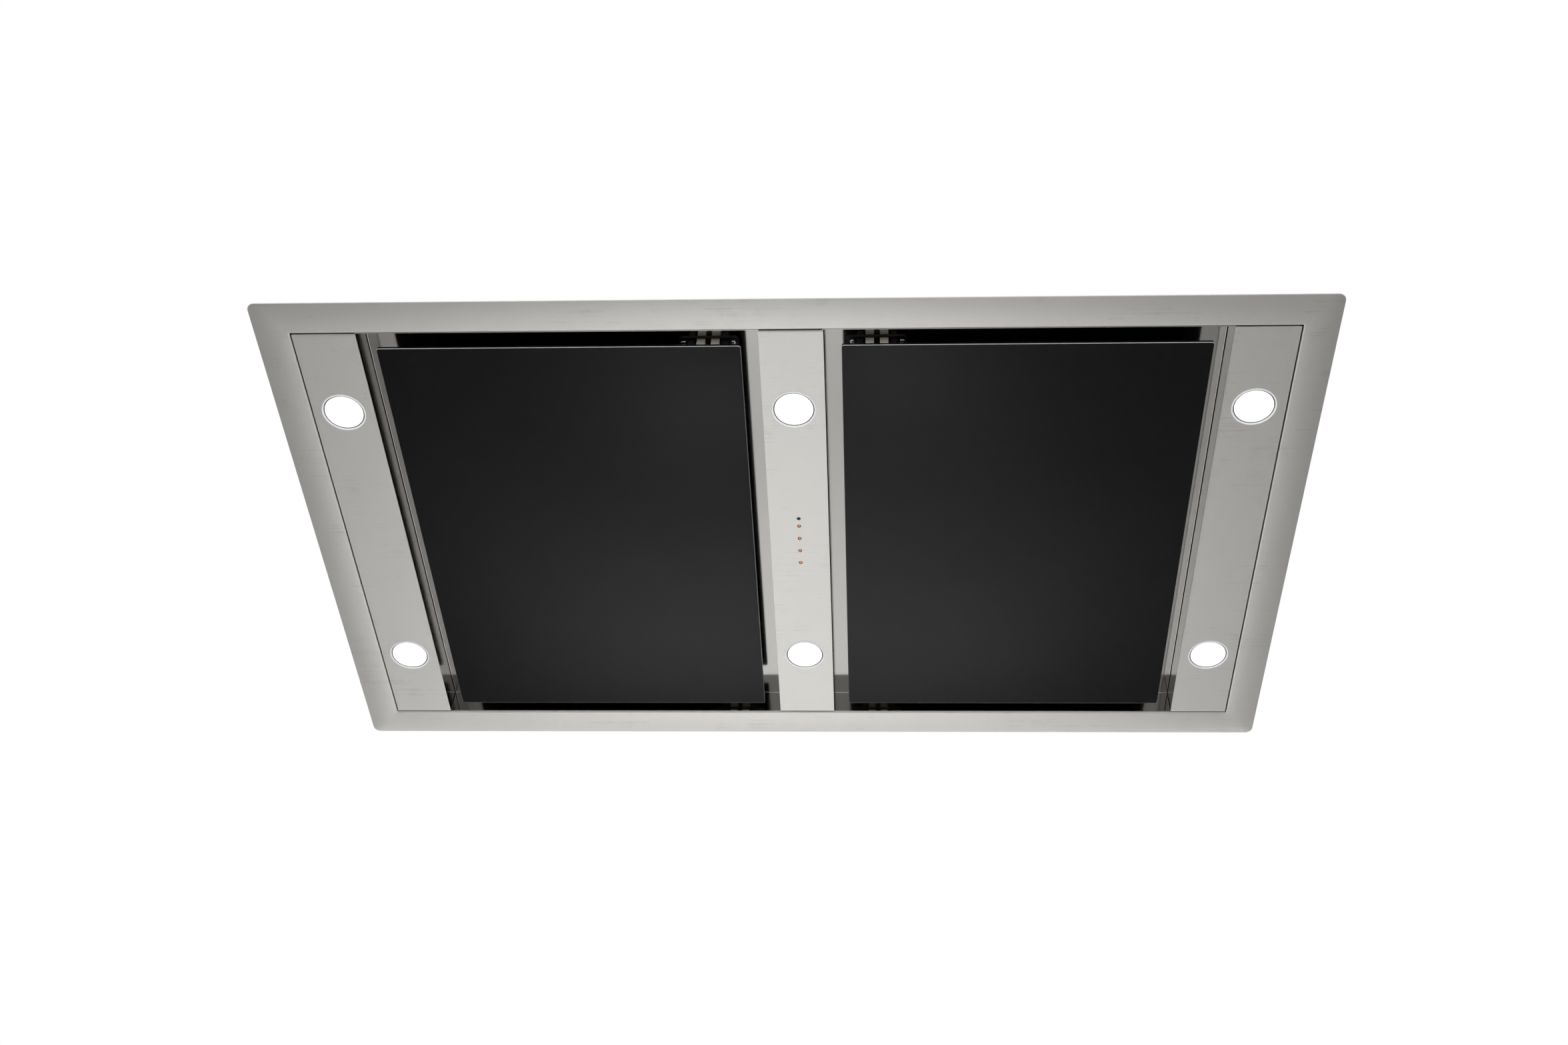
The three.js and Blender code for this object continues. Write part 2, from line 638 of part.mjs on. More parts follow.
/** Circuit board behind the control holes, with its relay and chip, on two foot posts. */
function controlBoard() {
  const post = { radius: 2.5, x: 18, inset: 5 };
  const top = board.bottom + board.thickness;
  const plate = block([-board.halfWidth, board.halfWidth], [board.start, board.end], [board.bottom, top]);
  const relay = block([-20, -6], [0, 28], [top - LAP, top + 14]);
  const chip = block([4, 16], [10, 22], [top - LAP, top + 2]);
  const posts = [board.start + post.inset, board.end - post.inset].map((y) => (
    bar(post.radius, SHEET + SEAT_GAP, board.bottom + LAP, SMALL_STEPS).translate([post.x, y, 0])
  ));
  return joined(plate, relay, chip, ...posts);
}

/** One moulding with a light-guide post in each of the four indicator holes. */
function indicatorGuide() {
  const radius = CONTROL_HOLE_RADIUS - SEAT_GAP;
  const carrierHalf = 4;
  const carrierBottom = SHEET + 2;
  const postTop = carrierBottom + 1;
  const end = INDICATOR_FIRST_Y + (INDICATOR_COUNT - 1) * INDICATOR_PITCH;
  const carrier = block(
    [-carrierHalf, carrierHalf], [INDICATOR_FIRST_Y - carrierHalf, end + carrierHalf],
    [carrierBottom, board.bottom - SEAT_GAP],
  );
  const domedPost = turned(
    [[0, 0.1], [radius * 0.6, 0.25], [radius, 0.6], [radius, postTop], [0, postTop]], SMALL_STEPS,
  );
  return joined(carrier, ...indicatorRows.map((y) => domedPost.translate([0, y, 0])));
}

/** Dark window of the remote control's receiver. */
function receiverWindow() {
  const radius = CONTROL_HOLE_RADIUS - SEAT_GAP;
  const collar = radius + 1.2;
  const top = board.bottom - SEAT_GAP;
  return turned([
    [0, 0.2], [radius * 0.7, 0.4], [radius, 0.8], [radius, SHEET + SEAT_GAP], [collar, SHEET + SEAT_GAP],
    [collar, top], [0, top],
  ], SMALL_STEPS);
}

const glandPlace = { x: housingX - GLAND_INSET_X, y: GLAND_INSET_Y - housingY };

/** Moulded box under the top plate that holds the motor and lamp electronics, with a ribbed lid. */
function controllerBox() {
  const z1 = topPlateBottom - SEAT_GAP;
  const z0 = z1 - BOX_HEIGHT;
  const halfX = BOX_LENGTH / 2;
  const halfY = BOX_DEPTH / 2;
  const corner = 6;
  const lidLip = 2;
  const lidHeight = 6;
  const rib = { half: 1.5, height: 1.5, length: halfY * 0.7, pitch: halfX * 0.3 };
  const body = upright(roundedRectangle(-halfX, halfX, -halfY, halfY, corner), z0 + lidHeight / 2, z1, 3);
  const lid = upright(
    roundedRectangle(-halfX - lidLip, halfX + lidLip, -halfY - lidLip, halfY + lidLip, corner + lidLip),
    z0, z0 + lidHeight, 3,
  );
  const ribs = [-2, -1, 0, 1, 2].map((step) => block(
    [step * rib.pitch - rib.half, step * rib.pitch + rib.half], [-rib.length, rib.length],
    [z0 - rib.height, z0 + LAP],
  ));
  return joined(body, lid, ...ribs).translate([glandPlace.x - halfX - GLAND_RADIUS * 3, glandPlace.y, 0]);
}

/** Cable gland in the top plate: flanged sleeve with a domed cap and an open bore. */
function cableGland() {
  const bottom = topPlateBottom - 8;
  const collar = GLAND_RADIUS + 4;
  const foot = topPlateTop + SEAT_GAP;
  const top = foot + 14;
  return turned([
    [GLAND_BORE, bottom], [GLAND_RADIUS, bottom], [GLAND_RADIUS, foot], [collar, foot], [collar, foot + 5],
    [GLAND_RADIUS, foot + 6], [GLAND_RADIUS - 1, top - 3], [GLAND_BORE + 1, top], [GLAND_BORE, top],
    [GLAND_BORE, bottom],
  ], PIN_STEPS).translate([glandPlace.x, glandPlace.y, 0]);
}

// ---------------------------------------------------------------- glass panels

/** Black glass panel with a fine polished arris all round. */
function glassPanel() {
  const arris = PANEL_ARRIS;
  const shape = roundedRectangle(
    panelInner + arris, panelOuter - arris, arris - panelHalfY, panelHalfY - arris, PANEL_CORNER,
  );
  const geometry = new THREE.ExtrudeGeometry(shape, {
    depth: PANEL_THICKNESS - 2 * arris, bevelEnabled: true, bevelSize: arris, bevelThickness: arris,
    bevelSegments: 1, curveSegments: 4,
  });
  geometry.translate(0, 0, arris - PANEL_DROP);
  return solid(geometry);
}

/** Steel frame bonded to the back of the glass, with its hinge arms and the two catch tongues. */
function panelFrame() {
  const x0 = panelInner + FRAME_INSET_FREE;
  const x1 = panelOuter - FRAME_INSET_HINGE;
  const y1 = panelHalfY - FRAME_INSET_END;
  const z0 = glassTop + SEAT_GAP;
  const z1 = z0 + FRAME_SHEET;
  const rimTop = z0 + FRAME_RIM_HEIGHT;
  const corner = 6;
  const outer = upright(roundedRectangle(x0, x1, -y1, y1, corner), z0, rimTop, 2);
  const wall = FRAME_SHEET;
  const tray = upright(
    roundedRectangle(x0 + wall, x1 - wall, wall - y1, y1 - wall, corner - wall),
    z1, rimTop + OVERCUT, 2,
  );
  const window = upright(
    roundedRectangle(x0 + FRAME_BAR, x1 - FRAME_BAR, FRAME_BAR - y1, y1 - FRAME_BAR, corner),
    z0 - OVERCUT, z1 + OVERCUT, 2,
  );
  const arms = [-1, 1].map((side) => hingeArm(x1, z0).translate([0, side * hingeRowY, 0]));
  const bores = [-1, 1].map((side) => barAlongY(
    HINGE_PIN_RADIUS + SEAT_GAP, side * hingeRowY - HINGE_WIDTH, side * hingeRowY + HINGE_WIDTH,
    [hingeX, HINGE_HEIGHT],
  ));
  const tongues = [-1, 1].map((side) => catchTongue(z0).translate([catchX, side * catchRowY, 0]));
  const frame = outer.subtract(tray).subtract(window);
  return joined(frame, ...arms, ...tongues).subtract(bores[0]).subtract(bores[1]);
}

/** Arm from the frame's bar up to the knuckle that turns on the hinge pin. */
function hingeArm(frameEdge, z0) {
  const thickness = 3;
  const foot = z0 + WELD_LAP;
  const start = frameEdge - FRAME_BAR + 4;
  const half = HINGE_ARM_WIDTH / 2;
  const strap = outline(
    [start, foot], [frameEdge, foot], [hingeX - 1, HINGE_HEIGHT - HINGE_KNUCKLE_RADIUS + 0.3],
    [hingeX - 2, HINGE_HEIGHT], [frameEdge - 1, foot + thickness], [start, foot + thickness],
  );
  const knuckle = barAlongY(HINGE_KNUCKLE_RADIUS, -half, half, [hingeX, HINGE_HEIGHT], PIN_STEPS);
  return alongY(strap, -half, half).add(knuckle);
}

/** Waisted tongue with a round tip, on a foot that is welded to the frame's bar. */
function catchTongue(z0) {
  const half = TONGUE_WIDTH / 2;
  const neck = JAW_GAP / 2 - JAW_NOSE - SEAT_GAP;
  const neckHalf = JAW_NOSE_HALF / 2;
  const footHeight = 2.2;
  const shape = new THREE.Shape();
  shape.moveTo(-half, z0 + WELD_LAP);
  shape.lineTo(half, z0 + WELD_LAP);
  shape.lineTo(half, jawNoseZ - JAW_NOSE_HALF);
  shape.lineTo(neck, jawNoseZ - neckHalf);
  shape.lineTo(neck, jawNoseZ + neckHalf);
  shape.lineTo(half, jawNoseZ + JAW_NOSE_HALF);
  shape.lineTo(half, TONGUE_TOP - half);
  shape.absarc(0, TONGUE_TOP - half, half, 0, Math.PI);
  shape.lineTo(-half, jawNoseZ + JAW_NOSE_HALF);
  shape.lineTo(-neck, jawNoseZ + neckHalf);
  shape.lineTo(-neck, jawNoseZ - neckHalf);
  shape.lineTo(-half, jawNoseZ - JAW_NOSE_HALF);
  const blade = alongY(shape, -TONGUE_DEPTH / 2, TONGUE_DEPTH / 2, 4);
  const foot = block([-10, 10], [-6, 6], [z0 + WELD_LAP, z0 + WELD_LAP + footHeight]);
  return blade.add(foot);
}

/** Fixed hinge leaf under the recess ceiling: foot, leg, two outer knuckles and the pin. */
function hingeBracket() {
  const leaf = 2;
  const footLength = 22;
  const half = HINGE_WIDTH / 2;
  const top = RECESS_DEPTH - SEAT_GAP;
  const legX = hingeX + HINGE_KNUCKLE_RADIUS;
  const profile = outline(
    [legX - footLength, top - leaf], [legX - leaf, top - leaf], [legX - leaf, HINGE_HEIGHT],
    [legX, HINGE_HEIGHT], [legX, top], [legX - footLength, top],
  );
  const knuckles = barAlongY(HINGE_KNUCKLE_RADIUS, -half, half, [hingeX, HINGE_HEIGHT], PIN_STEPS);
  const armHalf = HINGE_ARM_WIDTH / 2 + SEAT_GAP;
  const gapHalf = 3 * HINGE_KNUCKLE_RADIUS;
  const gap = block([hingeX - gapHalf, hingeX + gapHalf], [-armHalf, armHalf], [0, HINGE_HEIGHT + 5.5]);
  const pinHalf = half + 1.5;
  const pin = barAlongY(HINGE_PIN_RADIUS, -pinHalf, pinHalf, [hingeX, HINGE_HEIGHT]);
  return alongY(profile, -half, half).add(knuckles).subtract(gap).add(pin);
}

/** Steel housing of a spring catch: screw plate, side rails and the two spring blocks. */
function catchHousing() {
  const half = CATCH_PLATE_LENGTH / 2;
  const depth = CATCH_DEPTH / 2;
  const top = RECESS_DEPTH - SEAT_GAP;
  const foot = jawTop - 13;
  const shoulder = jawTop - 8;
  const inner = JAW_GAP / 2 + JAW_WIDTH + JAW_TRAVEL + 0.5;
  const outer = inner + 6.7;
  const blockY = depth - 2;
  const plate = upright(roundedRectangle(-half, half, -depth, depth, 4), catchUnderside, top, 3);
  const right = alongY(
    outline([inner, foot], [outer - 3, foot], [outer, shoulder], [outer, top - LAP], [inner, top - LAP]),
    -blockY, blockY,
  );
  const rail = block([-outer, outer], [depth - CATCH_RAIL, depth], [catchUnderside - CATCH_RAIL, top - LAP]);
  return joined(plate, right, right.rotate([0, 0, 180]), rail, rail.rotate([0, 0, 180]));
}

/** Cream nylon jaw with a rounded nose that holds the tongue by its waist. */
function catchJaw() {
  const near = JAW_GAP / 2;
  const far = near + JAW_WIDTH;
  const toe = 2;
  const shape = new THREE.Shape();
  shape.moveTo(near, jawBottom);
  shape.lineTo(far - toe, jawBottom);
  shape.quadraticCurveTo(far, jawBottom, far, jawBottom + toe);
  shape.lineTo(far, jawTop);
  shape.lineTo(near, jawTop);
  shape.lineTo(near, jawNoseZ + JAW_NOSE_HALF);
  shape.quadraticCurveTo(near - 2 * JAW_NOSE, jawNoseZ, near, jawBottom);
  const half = CATCH_DEPTH / 2 - CATCH_RAIL - SEAT_GAP;
  return alongY(shape, -half, half, 6);
}

// ---------------------------------------------------------------- blower and outlet

/** Spiral casing outline in Y and Z about the wheel's axis, drawn in by a wall's thickness. */
function scrollOutline(inset, top) {
  const steps = 30;
  const sweep = 2 * Math.PI - SCROLL_CUTOFF;
  const points = [];
  for (let i = 0; i <= steps; i += 1) {
    const turn = i / steps;
    const angle = SCROLL_CUTOFF + turn * sweep;
    const radius = SCROLL_START + (SCROLL_END - SCROLL_START) * turn - inset;
    points.push([radius * Math.cos(angle), radius * Math.sin(angle)]);
  }
  points.unshift([mouthStart + inset, top], [mouthStart + inset, points[0][1]]);
  points.push([SCROLL_END - inset, top]);
  return outline(...points);
}

/** Blower casing: spiral shell open at both inlets and at the top, with rolled inlet lips. */
function blowerScroll() {
  const half = SCROLL_WIDTH / 2;
  const innerHalf = half - SCROLL_SHEET;
  const top = HOUSING_HEIGHT - WHEEL_HEIGHT;
  const shell = alongX(scrollOutline(0, top), -half, half)
    .subtract(alongX(scrollOutline(SCROLL_SHEET, top + OVERCUT), -innerHalf, innerHalf));
  const inlets = barAlongX(INLET_RADIUS + 4, -half - OVERCUT, half + OVERCUT);
  const lipFace = INLET_LIP - 1.5;
  const lip = turned([
    [INLET_RADIUS, 0], [INLET_RADIUS + 1.5, 0], [INLET_RADIUS + 3, lipFace],
    [INLET_RADIUS + INLET_LIP, lipFace], [INLET_RADIUS + INLET_LIP, INLET_LIP],
    [INLET_RADIUS + 2, INLET_LIP], [INLET_RADIUS, 0],
  ]);
  const right = lip.rotate([0, 90, 0]).translate([half - INLET_LIP, 0, 0]);
  const left = lip.rotate([0, -90, 0]).translate([INLET_LIP - half, 0, 0]);
  const rim = block(
    [-half - SCROLL_RIM, half + SCROLL_RIM], [mouthStart - SCROLL_RIM, SCROLL_END + SCROLL_RIM],
    [top - 1.5, top],
  );
  const mouth = block(
    [-innerHalf, innerHalf], [mouthStart + SCROLL_SHEET, SCROLL_END - SCROLL_SHEET], [top - 4, top + OVERCUT],
  );
  return joined(shell.subtract(inlets), right, left, rim).subtract(mouth)
    .translate([0, wheelY, WHEEL_HEIGHT]);
}

/** One forward-curved blade in Y and Z: a strip of even thickness along a curved line. */
function bladeOutline() {
  const steps = 2;
  const near = [];
  const far = [];
  for (let i = 0; i <= steps; i += 1) {
    const along = i / steps;
    const radius = WHEEL_RADIUS - 1 - BLADE_DEPTH * (1 - along);
    const angle = BLADE_SWEEP * along * along;
    const spread = BLADE_THICKNESS / 2 / radius;
    near.push([radius * Math.cos(angle - spread), radius * Math.sin(angle - spread)]);
    far.unshift([radius * Math.cos(angle + spread), radius * Math.sin(angle + spread)]);
  }
  return outline(...near, ...far);
}

/** Double-inlet wheel: a centre plate and hub, a ring of curved blades and an end ring each side. */
function impeller() {
  const half = WHEEL_WIDTH / 2;
  const rimWidth = 3;
  const centrePlate = barAlongX(WHEEL_RADIUS - 1.5, -1, 1);
  const hub = barAlongX(18, -14, 2, [0, 0], PIN_STEPS);
  const blade = alongX(bladeOutline(), -half, half);
  const blades = [];
  for (let i = 0; i < BLADE_COUNT; i += 1) {
    blades.push(blade.rotate([i * 360 / BLADE_COUNT, 0, 0]));
  }
  const rim = barAlongX(WHEEL_RADIUS, -half, rimWidth - half)
    .subtract(barAlongX(WHEEL_RADIUS - 5, -half - OVERCUT, rimWidth - half + OVERCUT));
  const bore = barAlongX(SHAFT_RADIUS + SEAT_GAP, -half, half, [0, 0], LAMP_STEPS);
  const farRim = rim.translate([WHEEL_WIDTH - rimWidth, 0, 0]);
  return joined(centrePlate, hub, ...blades, rim, farRim).subtract(bore);
}

/** Motor inside the right half of the wheel: ribbed can with its shaft through the wheel's hub. */
function blowerMotor() {
  const end = SCROLL_WIDTH / 2;
  const shaftEnd = -20;
  const can = MOTOR_RADIUS - MOTOR_RIB;
  const ribWidth = 8;
  const ribCount = 2;
  const pitch = (end - MOTOR_START - 2 * ribWidth) / ribCount;
  const ribs = [];
  for (let i = 0; i < ribCount; i += 1) {
    const z = MOTOR_START + 10 + i * pitch;
    ribs.push([can, z], [MOTOR_RADIUS, z + 1], [MOTOR_RADIUS, z + ribWidth - 1], [can, z + ribWidth]);
  }
  const profile = [
    [0, shaftEnd], [SHAFT_RADIUS, shaftEnd], [SHAFT_RADIUS, MOTOR_START], [can - 5, MOTOR_START],
    [can, MOTOR_START + 5], ...ribs, [can, end], [0, end],
  ];
  return turned(profile, LAMP_STEPS).rotate([0, 90, 0]);
}

/** Three-armed bracket that holds the motor in the right inlet. */
function motorBracket() {
  const start = SCROLL_WIDTH / 2 + SEAT_GAP;
  const end = start + 2.5;
  const root = MOTOR_RADIUS / 2;
  const disc = barAlongX(MOTOR_RADIUS - 6, start, end, [0, 0], LAMP_STEPS);
  const arm = block([start, end], [-9, 9], [root, INLET_RADIUS + 18]);
  const rib = block([start + 1, start + 8], [-1, 1], [root, INLET_RADIUS + 4]);
  const arms = [0, 120, 240].map((angle) => arm.add(rib).rotate([angle, 0, 0]));
  return joined(disc, ...arms);
}

/** Outlet collar for a round duct: screw flange, spigot with a bead, stop ring and the flap pin. */
function outletCollar() {
  const foot = topPlateTop + SEAT_GAP;
  const top = foot + COLLAR_HEIGHT;
  const inner = DUCT_RADIUS - COLLAR_WALL;
  const pinZ = foot + FLAP_PIN_HEIGHT;
  const bead = { start: top - 12, middle: top - 10, end: top - 8, height: 1 };
  const stop = { reach: inner - 2.5, top: pinZ - 1, face: pinZ - 2, foot: pinZ - 4.5 };
  const half = COLLAR_FLANGE / 2;
  const plate = upright(roundedRectangle(-half, half, -half, half, 8), foot, foot + COLLAR_WALL)
    .subtract(bar(inner, foot - OVERCUT, foot + COLLAR_WALL + OVERCUT));
  const spigot = turned([
    [inner, foot], [DUCT_RADIUS, foot], [DUCT_RADIUS, bead.start], [DUCT_RADIUS + bead.height, bead.middle],
    [DUCT_RADIUS, bead.end], [DUCT_RADIUS, top], [inner, top], [inner, stop.top], [stop.reach, stop.top],
    [stop.reach, stop.face], [inner, stop.foot], [inner, foot],
  ]);
  const pinHalf = inner + COLLAR_WALL / 2;
  const pin = barAlongX(FLAP_PIN_RADIUS, -pinHalf, pinHalf, [0, pinZ], SMALL_STEPS);
  return joined(plate, spigot, pin);
}

/** Half-round damper flap that lies on the stop ring and turns up about the pin. */
function damperFlap() {
  const radius = DUCT_RADIUS - COLLAR_WALL - 1;
  const edge = 4;
  const halfLeaf = 0.5;
  const segment = 20;
  const knuckle = 3.2;
  const start = Math.asin(edge / radius);
  const shape = new THREE.Shape();
  shape.moveTo(radius * Math.cos(start), edge);
  shape.absarc(0, 0, radius, start, Math.PI - start);
  shape.lineTo(radius * Math.cos(start), edge);
  const leaf = upright(shape, -halfLeaf, halfLeaf, 16);
  const knuckles = [-2, 0].map((step) => {
    const x0 = step * segment + SEAT_GAP;
    const x1 = (step + 1) * segment - SEAT_GAP;
    const web = block([x0, x1], [1, edge + 1], [-halfLeaf, halfLeaf]);
    return web.add(barAlongX(knuckle, x0, x1, [0, 0], SMALL_STEPS));
  });
  const bore = barAlongX(FLAP_PIN_RADIUS + SEAT_GAP, -radius, radius, [0, 0], SMALL_STEPS);
  return joined(leaf, ...knuckles).subtract(bore);
}

// ---------------------------------------------------------------- assembly

addPart(hood, 'ceiling_flange', ceilingFlange(), BRUSHED);
addPart(hood, 'housing_walls', housingWalls(), GALVANISED);
addPart(hood, 'housing_top_plate', housingTopPlate(), GALVANISED);

const rail = hangingRail();
for (const [side, sign] of [['left', -1], ['right', 1]]) {
  addPart(hood, `hanging_rail_${side}`, rail, GALVANISED).position.x = sign * (housingX - RAIL_INSET);
}

const lamp = lampBody();
const lens = lampLens();
for (const [place, x] of [['left', -outerStripX], ['centre', 0], ['right', outerStripX]]) {
  const holes = place === 'centre' ? [RECEIVER_Y, ...indicatorRows] : [];
  addPart(hood, `light_strip_${place}`, lightStrip(holes), BRUSHED).position.x = x;
  for (const [row, y] of [['near', -lampRowY], ['far', lampRowY]]) {
    addPart(hood, `lamp_body_${place}_${row}`, lamp, ALUMINIUM).position.set(x, y, 0);
    addPart(hood, `lamp_lens_${place}_${row}`, lens, LAMP_WHITE).position.set(x, y, 0);
  }
}

addPart(hood, 'control_board', controlBoard(), GREEN_BOARD);
addPart(hood, 'indicator_light_guide', indicatorGuide(), RED_LIGHT);
addPart(hood, 'receiver_window', receiverWindow(), BLACK_PLASTIC).position.y = RECEIVER_Y;
addPart(hood, 'controller_box', controllerBox(), GREY_PLASTIC);
addPart(hood, 'cable_gland', cableGland(), BLACK_PLASTIC);

/** One bay: the right one as drawn, and the left one turned half round about Z. */
function addBay(side) {
  const bay = new THREE.Group();
  const rows = side === 'right' ? [['near', -1], ['far', 1]] : [['far', -1], ['near', 1]];
  bay.rotation.z = side === 'right' ? 0 : Math.PI;
  hood.add(bay);
  addPart(bay, `recess_liner_${side}`, recessLiner(), BRIGHT);
  addPart(bay, `glass_panel_${side}`, glassPanel(), BLACK_GLASS);
  addPart(bay, `panel_frame_${side}`, panelFrame(), BLACK_PAINT);
  addPart(bay, `filter_frame_${side}`, filterFrame(), ALUMINIUM).position.x = linerCentre;
  addPart(bay, `filter_mesh_${side}`, filterMesh(), ALUMINIUM).position.x = linerCentre;
  addPart(bay, `filter_latch_${side}`, filterLatch(), BLACK_PLASTIC).position.x = linerCentre;
  for (const [row, sign] of rows) {
    addPart(bay, `hinge_bracket_${side}_${row}`, hingeBracket(), GALVANISED).position.y = sign * hingeRowY;
    const catchPlace = [catchX, sign * catchRowY, 0];
    addPart(bay, `catch_housing_${side}_${row}`, catchHousing(), BRIGHT).position.set(...catchPlace);
    addPart(bay, `catch_jaw_${side}_${row}_outer`, catchJaw(), CREAM_NYLON).position.set(...catchPlace);
    const innerJaw = addPart(bay, `catch_jaw_${side}_${row}_inner`, catchJaw(), CREAM_NYLON);
    innerJaw.position.set(...catchPlace);
    innerJaw.rotation.z = Math.PI;
  }
}
addBay('left');
addBay('right');

addPart(hood, 'blower_scroll', blowerScroll(), GALVANISED);
addPart(hood, 'impeller', impeller(), GALVANISED).position.set(0, wheelY, WHEEL_HEIGHT);
addPart(hood, 'blower_motor', blowerMotor(), BLACK_PAINT).position.set(0, wheelY, WHEEL_HEIGHT);
addPart(hood, 'motor_bracket', motorBracket(), GALVANISED).position.set(0, wheelY, WHEEL_HEIGHT);
addPart(hood, 'outlet_collar', outletCollar(), GALVANISED);

const flapZ = topPlateTop + SEAT_GAP + FLAP_PIN_HEIGHT;
addPart(hood, 'damper_flap_far', damperFlap(), GALVANISED).position.z = flapZ;
const nearFlap = addPart(hood, 'damper_flap_near', damperFlap(), GALVANISED);
nearFlap.position.z = flapZ;
nearFlap.rotation.z = Math.PI;

export default hood;
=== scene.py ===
"""Ceiling range hood dressed for rendering: sheet metal, black glass, lamps, filters and their fasteners."""
import json
import math

import bmesh
import bpy
import numpy as np
from bpy.props import BoolProperty, FloatProperty, FloatVectorProperty, IntProperty, PointerProperty
from bpy.types import Operator, Panel, PropertyGroup
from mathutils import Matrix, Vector


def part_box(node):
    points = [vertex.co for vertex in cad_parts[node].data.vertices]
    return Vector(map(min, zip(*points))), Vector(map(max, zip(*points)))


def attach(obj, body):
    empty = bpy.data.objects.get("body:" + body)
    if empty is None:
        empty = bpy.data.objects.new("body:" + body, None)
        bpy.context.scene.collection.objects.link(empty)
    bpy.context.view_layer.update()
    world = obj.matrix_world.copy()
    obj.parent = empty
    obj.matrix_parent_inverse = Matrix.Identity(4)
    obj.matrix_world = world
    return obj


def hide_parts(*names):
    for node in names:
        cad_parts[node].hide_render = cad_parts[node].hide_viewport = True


bl_info = {
    "name": "Ceiling range hood",
    "version": (1, 0, 0),
    "blender": (4, 5, 0),
    "location": "View3D > Sidebar > Hood",
    "description": "Dresses the packed ceiling range hood with finishes, fasteners, lamps and a plain stage",
    "category": "Object",
}

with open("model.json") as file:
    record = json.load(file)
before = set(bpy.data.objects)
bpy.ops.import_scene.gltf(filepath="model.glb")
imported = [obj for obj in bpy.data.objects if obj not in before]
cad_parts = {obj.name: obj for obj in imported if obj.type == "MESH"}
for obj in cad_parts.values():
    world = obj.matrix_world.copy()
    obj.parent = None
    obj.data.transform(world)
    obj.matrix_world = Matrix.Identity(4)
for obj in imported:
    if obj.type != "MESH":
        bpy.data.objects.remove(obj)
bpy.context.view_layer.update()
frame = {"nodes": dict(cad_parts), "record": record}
NODES = frame["nodes"]
MM = 0.001
SIDES = ("left", "right")
ROWS = ("near", "far")
CATCH_PLATE = 1.5 * MM
FLOOR_LEVEL = -2.6
STAGE_REACH = 5.0


# ------------------------ sizes and colours a user would change

def length_value(name, description, default):
    """Length property, in metres."""
    return FloatProperty(name=name, description=description, default=default, unit="LENGTH")


def colour_value(name, description, red, green, blue):
    """Opaque colour property, as linear values."""
    return FloatVectorProperty(
        name=name, description=description, subtype="COLOR", size=4, default=(red, green, blue, 1.0),
    )


def power_value(name, description, default):
    """Power property of a lamp, in watts."""
    return FloatProperty(name=name, description=description, default=default, unit="POWER")


class HoodSizes(PropertyGroup):
    """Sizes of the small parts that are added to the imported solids."""

    bend_radius: length_value(
        "Flange bend radius", "Outer radius where the flange turns up into the opening", 2.0 * MM,
    )
    glass_arris: length_value("Glass arris", "Radius of the arrises along the glass edges", 0.6 * MM)
    screw_radius: length_value("Screw head radius", "Head radius of the cross-recess screws", 3.8 * MM)
    rivet_radius: length_value("Rivet head radius", "Head radius of the blind rivets", 3.2 * MM)
    strand_width: length_value("Filter strand", "Width of one strand of the filter's mesh", 0.9 * MM)
    lamp_fins: IntProperty(name="Lamp fins", description="Cooling fins round each lamp", default=24, min=6)


class HoodColours(PropertyGroup):
    """Colours of the main finishes."""

    stainless: colour_value("Brushed stainless", "Flange and light strips", 0.62, 0.605, 0.58)
    # painted shade: the pans' stainless is given a darker colour than the flange's, for the shade inside the
    # recesses
    liner: colour_value("Bright stainless", "Folded pans of the two recesses", 0.375, 0.365, 0.35)
    galvanised: colour_value("Galvanised steel", "Casing, rails, blower and brackets", 0.50, 0.52, 0.53)
    aluminium: colour_value("Aluminium", "Filter frames and filter mesh", 0.70, 0.71, 0.72)
    glass: colour_value("Black glass", "Back-painted face of the glass panels", 0.0035, 0.0036, 0.004)
    # painted light: this pale colour shows fully only on the near and far edges; the side edges are painted
    # dark
    glass_edge: colour_value("Glass edge", "Ground lower arris of the glass panels", 0.80, 0.82, 0.82)
    nylon: colour_value("Cream nylon", "Jaws of the catches", 0.80, 0.75, 0.62)
    indicator: colour_value("Indicator light", "Glow of the indicator light guide", 1.0, 0.30, 0.14)


class HoodStage(PropertyGroup):
    """Light levels of the stage and whether it is built."""

    build: BoolProperty(name="Build the stage", description="Adds floor, ceiling and lamps", default=True)
    key_power: power_value("Key light", "Power of the soft light under the hood", 9.0)
    near_power: power_value("Near light", "Power of the light behind the camera", 15.0)
    side_power: power_value("Side lights", "Power of each soft light beside the casing", 22.0)
    top_power: power_value("Top light", "Power of the soft light over the hood", 23.0)
    pool_power: power_value("Pool light", "Power of the small light onto the floor beyond the hood", 5.0)
    bounce_power: power_value("Bounce light", "Power of the wide light onto the far floor", 34.0)
    ambient: FloatProperty(name="Ambient", description="Strength of the world's own light", default=0.12)


# ------------------------ surfaces

def grid_faces(rows, columns, close_rows, close_columns):
    """Quads between neighbouring rows and columns of a point grid, wrapped round where it is closed."""
    row = np.arange(rows if close_rows else rows - 1)
    column = np.arange(columns if close_columns else columns - 1)
    i, j = np.meshgrid(row, column, indexing="ij")
    below, beside = (i + 1) % rows, (j + 1) % columns
    corners = (i * columns + j, i * columns + beside, below * columns + beside, below * columns + j)
    return np.stack([c.ravel() for c in corners], axis=1)


def turned_faces(grid):
    """Faces between the loops of a point grid whose first and last loops stay apart."""
    return grid_faces(*grid.shape[:2], False, True)


def closed_tube_faces(grid):
    """Faces between the loops of a point grid whose last loop joins its first."""
    return grid_faces(*grid.shape[:2], True, True)


def capped_faces(grid):
    """Faces between the loops of a point grid, and one flat face on its first and on its last loop."""
    rows, columns = grid.shape[:2]
    return [*turned_faces(grid), range(columns), range((rows - 1) * columns, rows * columns)]


